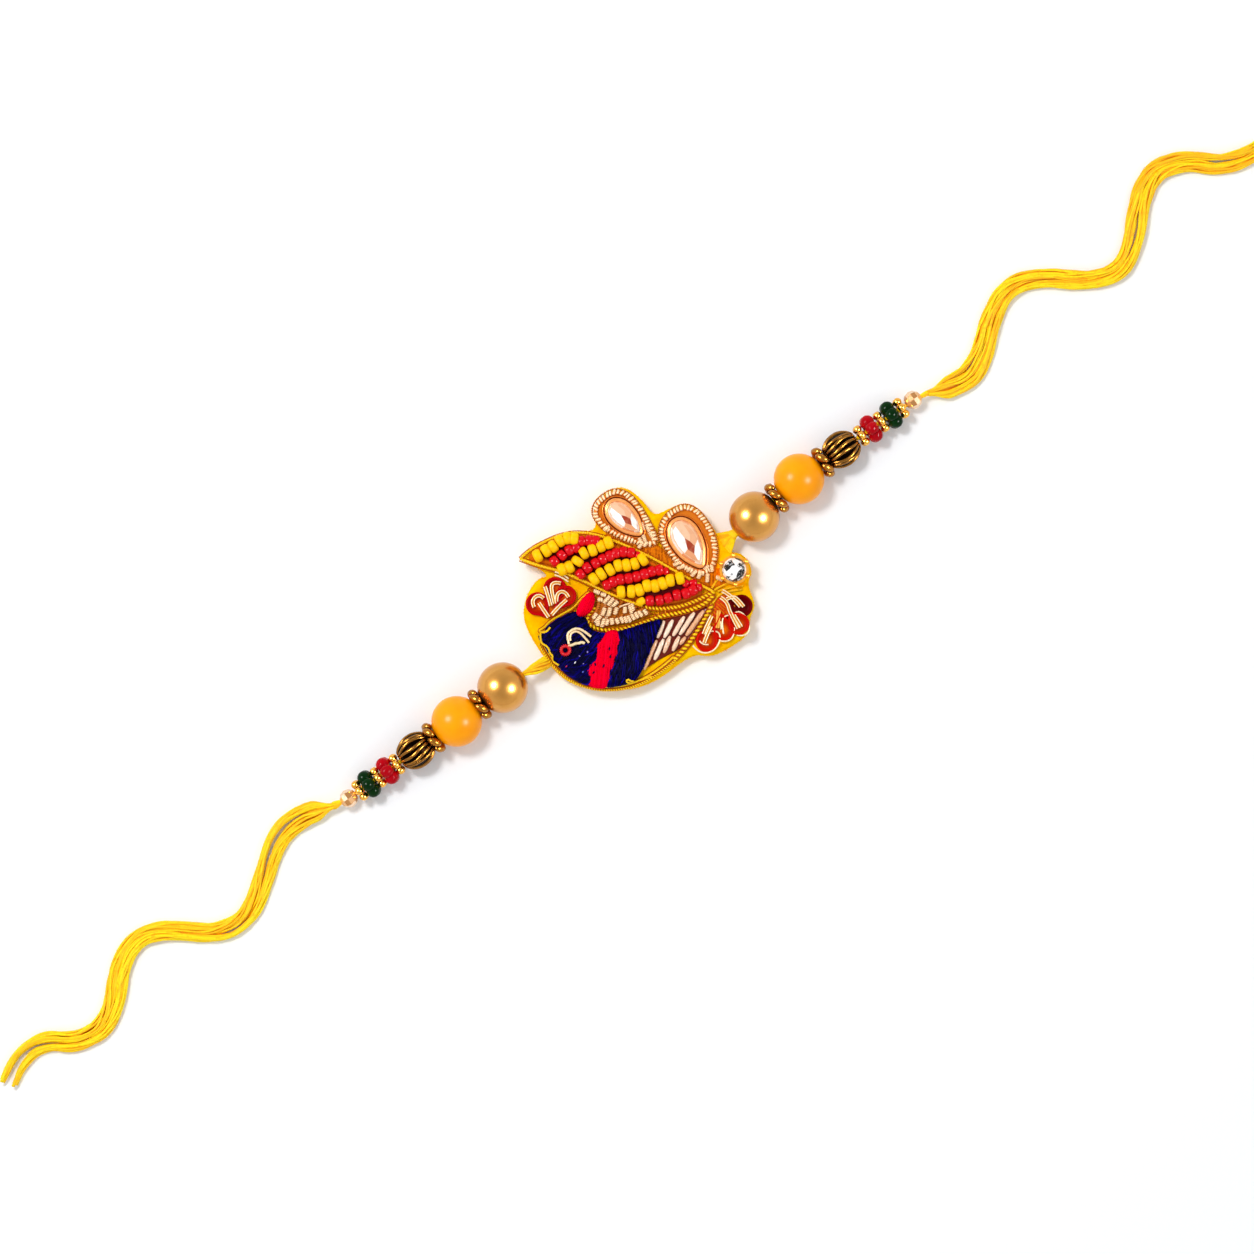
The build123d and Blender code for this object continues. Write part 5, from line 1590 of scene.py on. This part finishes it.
# %% Stray stitches
HEAD_TOP = 4.75
STRIPE_TOP = ON_BASE + PAD_THICKNESS + 0.35
HEAD_STITCHES = [
    (-14.2, -2.9, 0.1, 0, 0.7), (-12.8, -3.2, 0.5, 10, 0.6), (-11.6, -2.8, 0.75, 80, 0.4),
    (-10.2, -2.9, 0.75, 60, 0.45), (-11.8, -4.1, 0.75, 75, 0.35), (-12.6, -5.1, 0.95, 10, 0.5)]
STRIPE_SPECKS = [
    (-7.7, -5.58, 0.0, 40, 0.4), (-9.43, -6.21, 0.0, 30, 0.5), (-10.35, -5.27, 0.0, 75, 0.4),
    (-11.28, -6.14, 0.0, 20, 0.4), (-7.13, -4.53, 0.0, 50, 0.35)]
heap = Heap()
for level, marks in ((HEAD_TOP, HEAD_STITCHES), (STRIPE_TOP, STRIPE_SPECKS)):
    for x, y, tint, angle, length in marks:
        heap.strand(low_stitch(x, y, level, angle, length, 0.08, 0.15), 0.13, tint, 6)
paint = Paint("stray_stitch")
fine = paint.noise(0.1)
colour = paint.mix(paint.tint().ramp(0.02, 0.08), srgb("1A0230"), srgb("D81030"))
colour = paint.mix(paint.tint().ramp(0.2, 0.4), colour, srgb("FFFFFF"))
colour = paint.mix(paint.tint().ramp(0.55, 0.7), colour, srgb("9A86D8"))
colour = paint.mix(paint.tint().ramp(0.8, 0.9), colour, srgb("3A5AD0"))
colour = paint.mix(fine * 0.3 * paint.tint().ramp(0.0, 0.3), colour, srgb("B0A0C0"))
stray = paint.finish(
    Base_Color=colour, Roughness=0.6, Normal=paint.bump(fine, 0.02), Specular_IOR_Level=0.05)
heap.piece("stray_stitches", stray, "navy_satin")

# %% [markdown]
# The beads on the strings are hard. Where the CAD shape is right, it stays and only gets a finish.
# Metal beads are drawn by what they mirror, and the bright gold rings and the claw setting also get
# painted shade in their recesses. Antique metal is bright where it was rubbed and black where it
# wasn't: the shader measures how closed in each point is and darkens the recesses.

# %% Bead finishes
def dress(names, material):
    """Gives CAD nodes a finish."""
    for name in names:
        node = bpy.data.objects[name]
        node.data.materials.clear()
        node.data.materials.append(material)
        for face in node.data.polygons:
            face.use_smooth = True


def metal(name, light, deep, roughness, dark=None, reach=0.7, low=0.35, high=0.8, grain=0.5,
          metallic=1.0, coat=0.0, core=False):
    """Metal: light in the open, recesses dark (patina if antique, painted shade if bright), a fine uneven
    surface.
    """
    paint = Paint(name)
    drift = paint.noise(grain, 3.0, 0.6)
    colour = paint.mix(drift, light, deep)
    if dark is not None:
        colour = paint.mix(paint.recess(reach).ramp(low, high), dark, colour)
    if core:
        colour = paint.mix(paint.tint().ramp(0.2, 0.4), dark, colour)
    return paint.finish(
        Base_Color=colour, Metallic=metallic, Roughness=roughness, Normal=paint.bump(drift, 0.006),
        Coat_Weight=coat, Coat_Roughness=0.08)


def glass(name, light, deep, dark, roughness, shine):
    """Solid coloured glass or acrylic: a faint drift of colour, and painted shade deepening it in creases.
    """
    paint = Paint(name)
    drift = paint.noise(2.2, 2.0)
    colour = paint.mix(paint.recess(1.2).ramp(0.25, 0.95), dark, paint.mix(drift, light, deep))
    return paint.finish(
        Base_Color=colour, Roughness=roughness, Normal=paint.bump(drift, 0.01), Specular_IOR_Level=shine)


gold_pearl = metal(
    "gold_pearl", srgb("DCA052"), srgb("C88A3A"), 0.25, grain=2.0, metallic=0.95, coat=0.1)
# The bright gold rings and the claw setting get painted shade: dark in their recesses.
bright_gold = metal("bright_gold", srgb("FFC860"), srgb("E8A030"), 0.14, dark=srgb("4A1A00"))
claw_gold = metal(
    "claw_gold", srgb("FFC048"), srgb("F09420"), 0.3, dark=srgb("5A2400"), reach=0.6, low=0.3,
    high=0.75, metallic=0.7)
orange_acrylic = glass("orange_acrylic", srgb("FFAA00"), srgb("FF9400"), srgb("EC8400"), 0.28, 0.12)
red_glass = glass("red_glass", srgb("C40014"), srgb("90000C"), srgb("300002"), 0.12, 0.08)
green_glass = glass("green_glass", srgb("04340A"), srgb("011604"), srgb("000802"), 0.12, 0.08)

# %% Dress the CAD beads
SIDES = ("left", "right")
dress([side + "_pearl_bead" for side in SIDES], gold_pearl)
dress(["%s_gold_ring_%d" % (side, k) for side in SIDES for k in (1, 2, 3)], bright_gold)
dress([side + "_orange_bead" for side in SIDES], orange_acrylic)
dress([side + "_red_ring" for side in SIDES], red_glass)
dress([side + "_green_ring" for side in SIDES], green_glass)
dress(["round_setting"], claw_gold)
print("dressed", 7 * len(SIDES) + 1, "CAD solids")

# %% [markdown]
# Three kinds of bead are too plain in the CAD and are made again in its place. The spacer is cast as
# a thick twisted rope: seven slanted lumps on a blackened core. The melon bead is a black barrel with
# raised gold ribs that waver a little. The small end bead is cut in flat facets, each painted with its
# own reflection, dark, tan or light, because a smooth ball there would read as another pearl. Each
# takes its centre and its way along the string from the CAD.

# %% Cast beads
BEAD_PLACES = {
    "left": {
        "spacer_1": ((-28.827, -0.002, 4.0), (-0.9996, -0.0192, -0.022)),
        "spacer_2": ((-37.764, -0.142, 3.605), (-0.9961, -0.0087, -0.0882)),
        "ribbed_bead": ((-41.195, -0.172, 3.302), (-0.9961, -0.0087, -0.0882)),
        "end_bead": ((-54.213, -0.286, 2.149), (-0.996, -0.0087, -0.0882))},
    "right": {
        "spacer_1": ((27.978, -0.175, 4.0), (0.9977, 0.045, -0.02)),
        "spacer_2": ((37.138, 0.233, 3.611), (0.9964, -0.0035, -0.0846)),
        "ribbed_bead": ((40.689, 0.221, 3.31), (0.9964, -0.0035, -0.0846)),
        "end_bead": ((54.43, 0.173, 2.143), (0.9964, -0.0035, -0.0846))}}


def axes_of(way):
    """A bead's way along the string, and two ways across it."""
    way = unit(np.array(way))
    side = unit(np.cross((0.0, 0.0, 1.0), way))
    return way, side, np.cross(way, side)


SPACER_CORE = [(-0.62, 0.8), (-0.55, 1.5), (0.0, 1.75), (0.55, 1.5), (0.62, 0.8)]
SPACER_LUMPS = 7
SPACER_CIRCLE = 2.0
SPACER_SLANT = math.radians(28)


def rope_spacer(heap, centre, way):
    """Slanted lumps in a ring on a dark core."""
    way, side, up = axes_of(way)
    heap.turned(centre, way, SPACER_CORE, 24, 0.0)
    for k in range(SPACER_LUMPS):
        angle = 2 * math.pi * (k + 0.4) / SPACER_LUMPS
        out = math.cos(angle) * side + math.sin(angle) * up
        long = math.cos(SPACER_SLANT) * np.cross(way, out) + math.sin(SPACER_SLANT) * way
        widths = np.array([1.16 * long, 0.64 * np.cross(out, long), 0.76 * out])
        heap.lump(centre + SPACER_CIRCLE * out, widths, 1.0)


MELON_RIBS = 17
MELON_HALF = 2.6
RIB_SINK = 0.27


def melon_bead(heap, centre, way, draw):
    """Raised ribs on a dark barrel, with a collar at each end."""
    way, side, up = axes_of(way)
    share = np.linspace(-1, 1, 27)
    place = MELON_HALF * share
    radius = 2.85 * np.sqrt(1 - (place / 3.18) ** 2)
    heap.turned(centre, way, list(zip(place, radius - 0.26)), 40, 0.0)
    for k in range(MELON_RIBS):
        waver = 0.07 * np.sin(2.6 * share + ANY_PHASE * draw.random()) + 0.03 * draw.normal()
        angle = (2 * math.pi * k / MELON_RIBS + waver)[:, None]
        out = np.cos(angle) * side + np.sin(angle) * up
        rib = np.asarray(centre) + place[:, None] * way + (radius - RIB_SINK)[:, None] * out
        heap.strand(rib, 0.3 * np.sqrt(1 - 0.6 * share ** 2), 1.0, 9, normal=out)
    turn = np.linspace(0, 2 * math.pi, 36, endpoint=False)[:, None]
    for end in (-1, 1):
        middle = np.asarray(centre) + end * (MELON_HALF + 0.02) * way
        collar = middle + 1.22 * (np.cos(turn) * side + np.sin(turn) * up)
        heap.strand(collar, 0.2, 1.0, 8, closed=True)


def middle_of(face):
    """Where a facet's middle is, rounded, to put facets in the same order in every run."""
    x, y, z = face.calc_center_median()
    return round(x, 4), round(y, 4), round(-z, 4)


def cut_bead(heap, centre, way, draw):
    """A ball of flat facets, six rows of eight round the thread."""
    way, side, up = axes_of(way)
    ball = bmesh.new()
    bmesh.ops.create_uvsphere(ball, u_segments=8, v_segments=6, radius=1.46)
    for face in sorted(ball.faces, key=middle_of):
        corners = np.array([corner.co for corner in face.verts])
        corners = centre + corners @ np.array([side, up, way])
        flat_facet(heap, corners, draw.choice([0.1, 0.35, 0.6, 0.85]))
    ball.free()


# %% Finishes of the cast beads
WORN_BLACK = srgb("0A0402")
antique_gold = metal(
    "antique_gold", srgb("C88A38"), srgb("865014"), 0.24, dark=WORN_BLACK, low=0.45, high=0.9,
    core=True)
melon_gold = metal(
    "melon_gold", srgb("B47C34"), srgb("6A4012"), 0.24, dark=WORN_BLACK, low=0.5, high=0.95,
    core=True)
paint = Paint("champagne")
cloud = paint.noise(0.6)
tone = paint.tint()
# Painted reflections: facet tints run from brown through tan to a near-white highlight.
colour = paint.mix(tone.ramp(0.0, 0.4), srgb("C88C50"), srgb("E4B07C"))
colour = paint.mix((tone + cloud * 0.3 - 0.15).ramp(0.6, 1.1), colour, srgb("FFE8CC"))
champagne = paint.finish(
    Base_Color=colour, Metallic=0.85, Roughness=0.2, Normal=paint.bump(cloud, 0.01))

# %% Set the cast beads on the strings
for side, places in BEAD_PLACES.items():
    draw = np.random.default_rng(71)
    for name in ("spacer_1", "spacer_2"):
        heap = Heap()
        rope_spacer(heap, *places[name])
        heap.piece("%s_rope_%s" % (side, name), antique_gold, "antique_gold", ["%s_%s" % (side, name)])
    heap = Heap()
    melon_bead(heap, *places["ribbed_bead"], draw)
    heap.piece(side + "_melon_bead", melon_gold, "antique_gold", [side + "_ribbed_bead"])
    heap = Heap()
    cut_bead(heap, *places["end_bead"], draw)
    heap.piece(side + "_cut_bead", champagne, "champagne", [side + "_end_bead"], sharp=True)
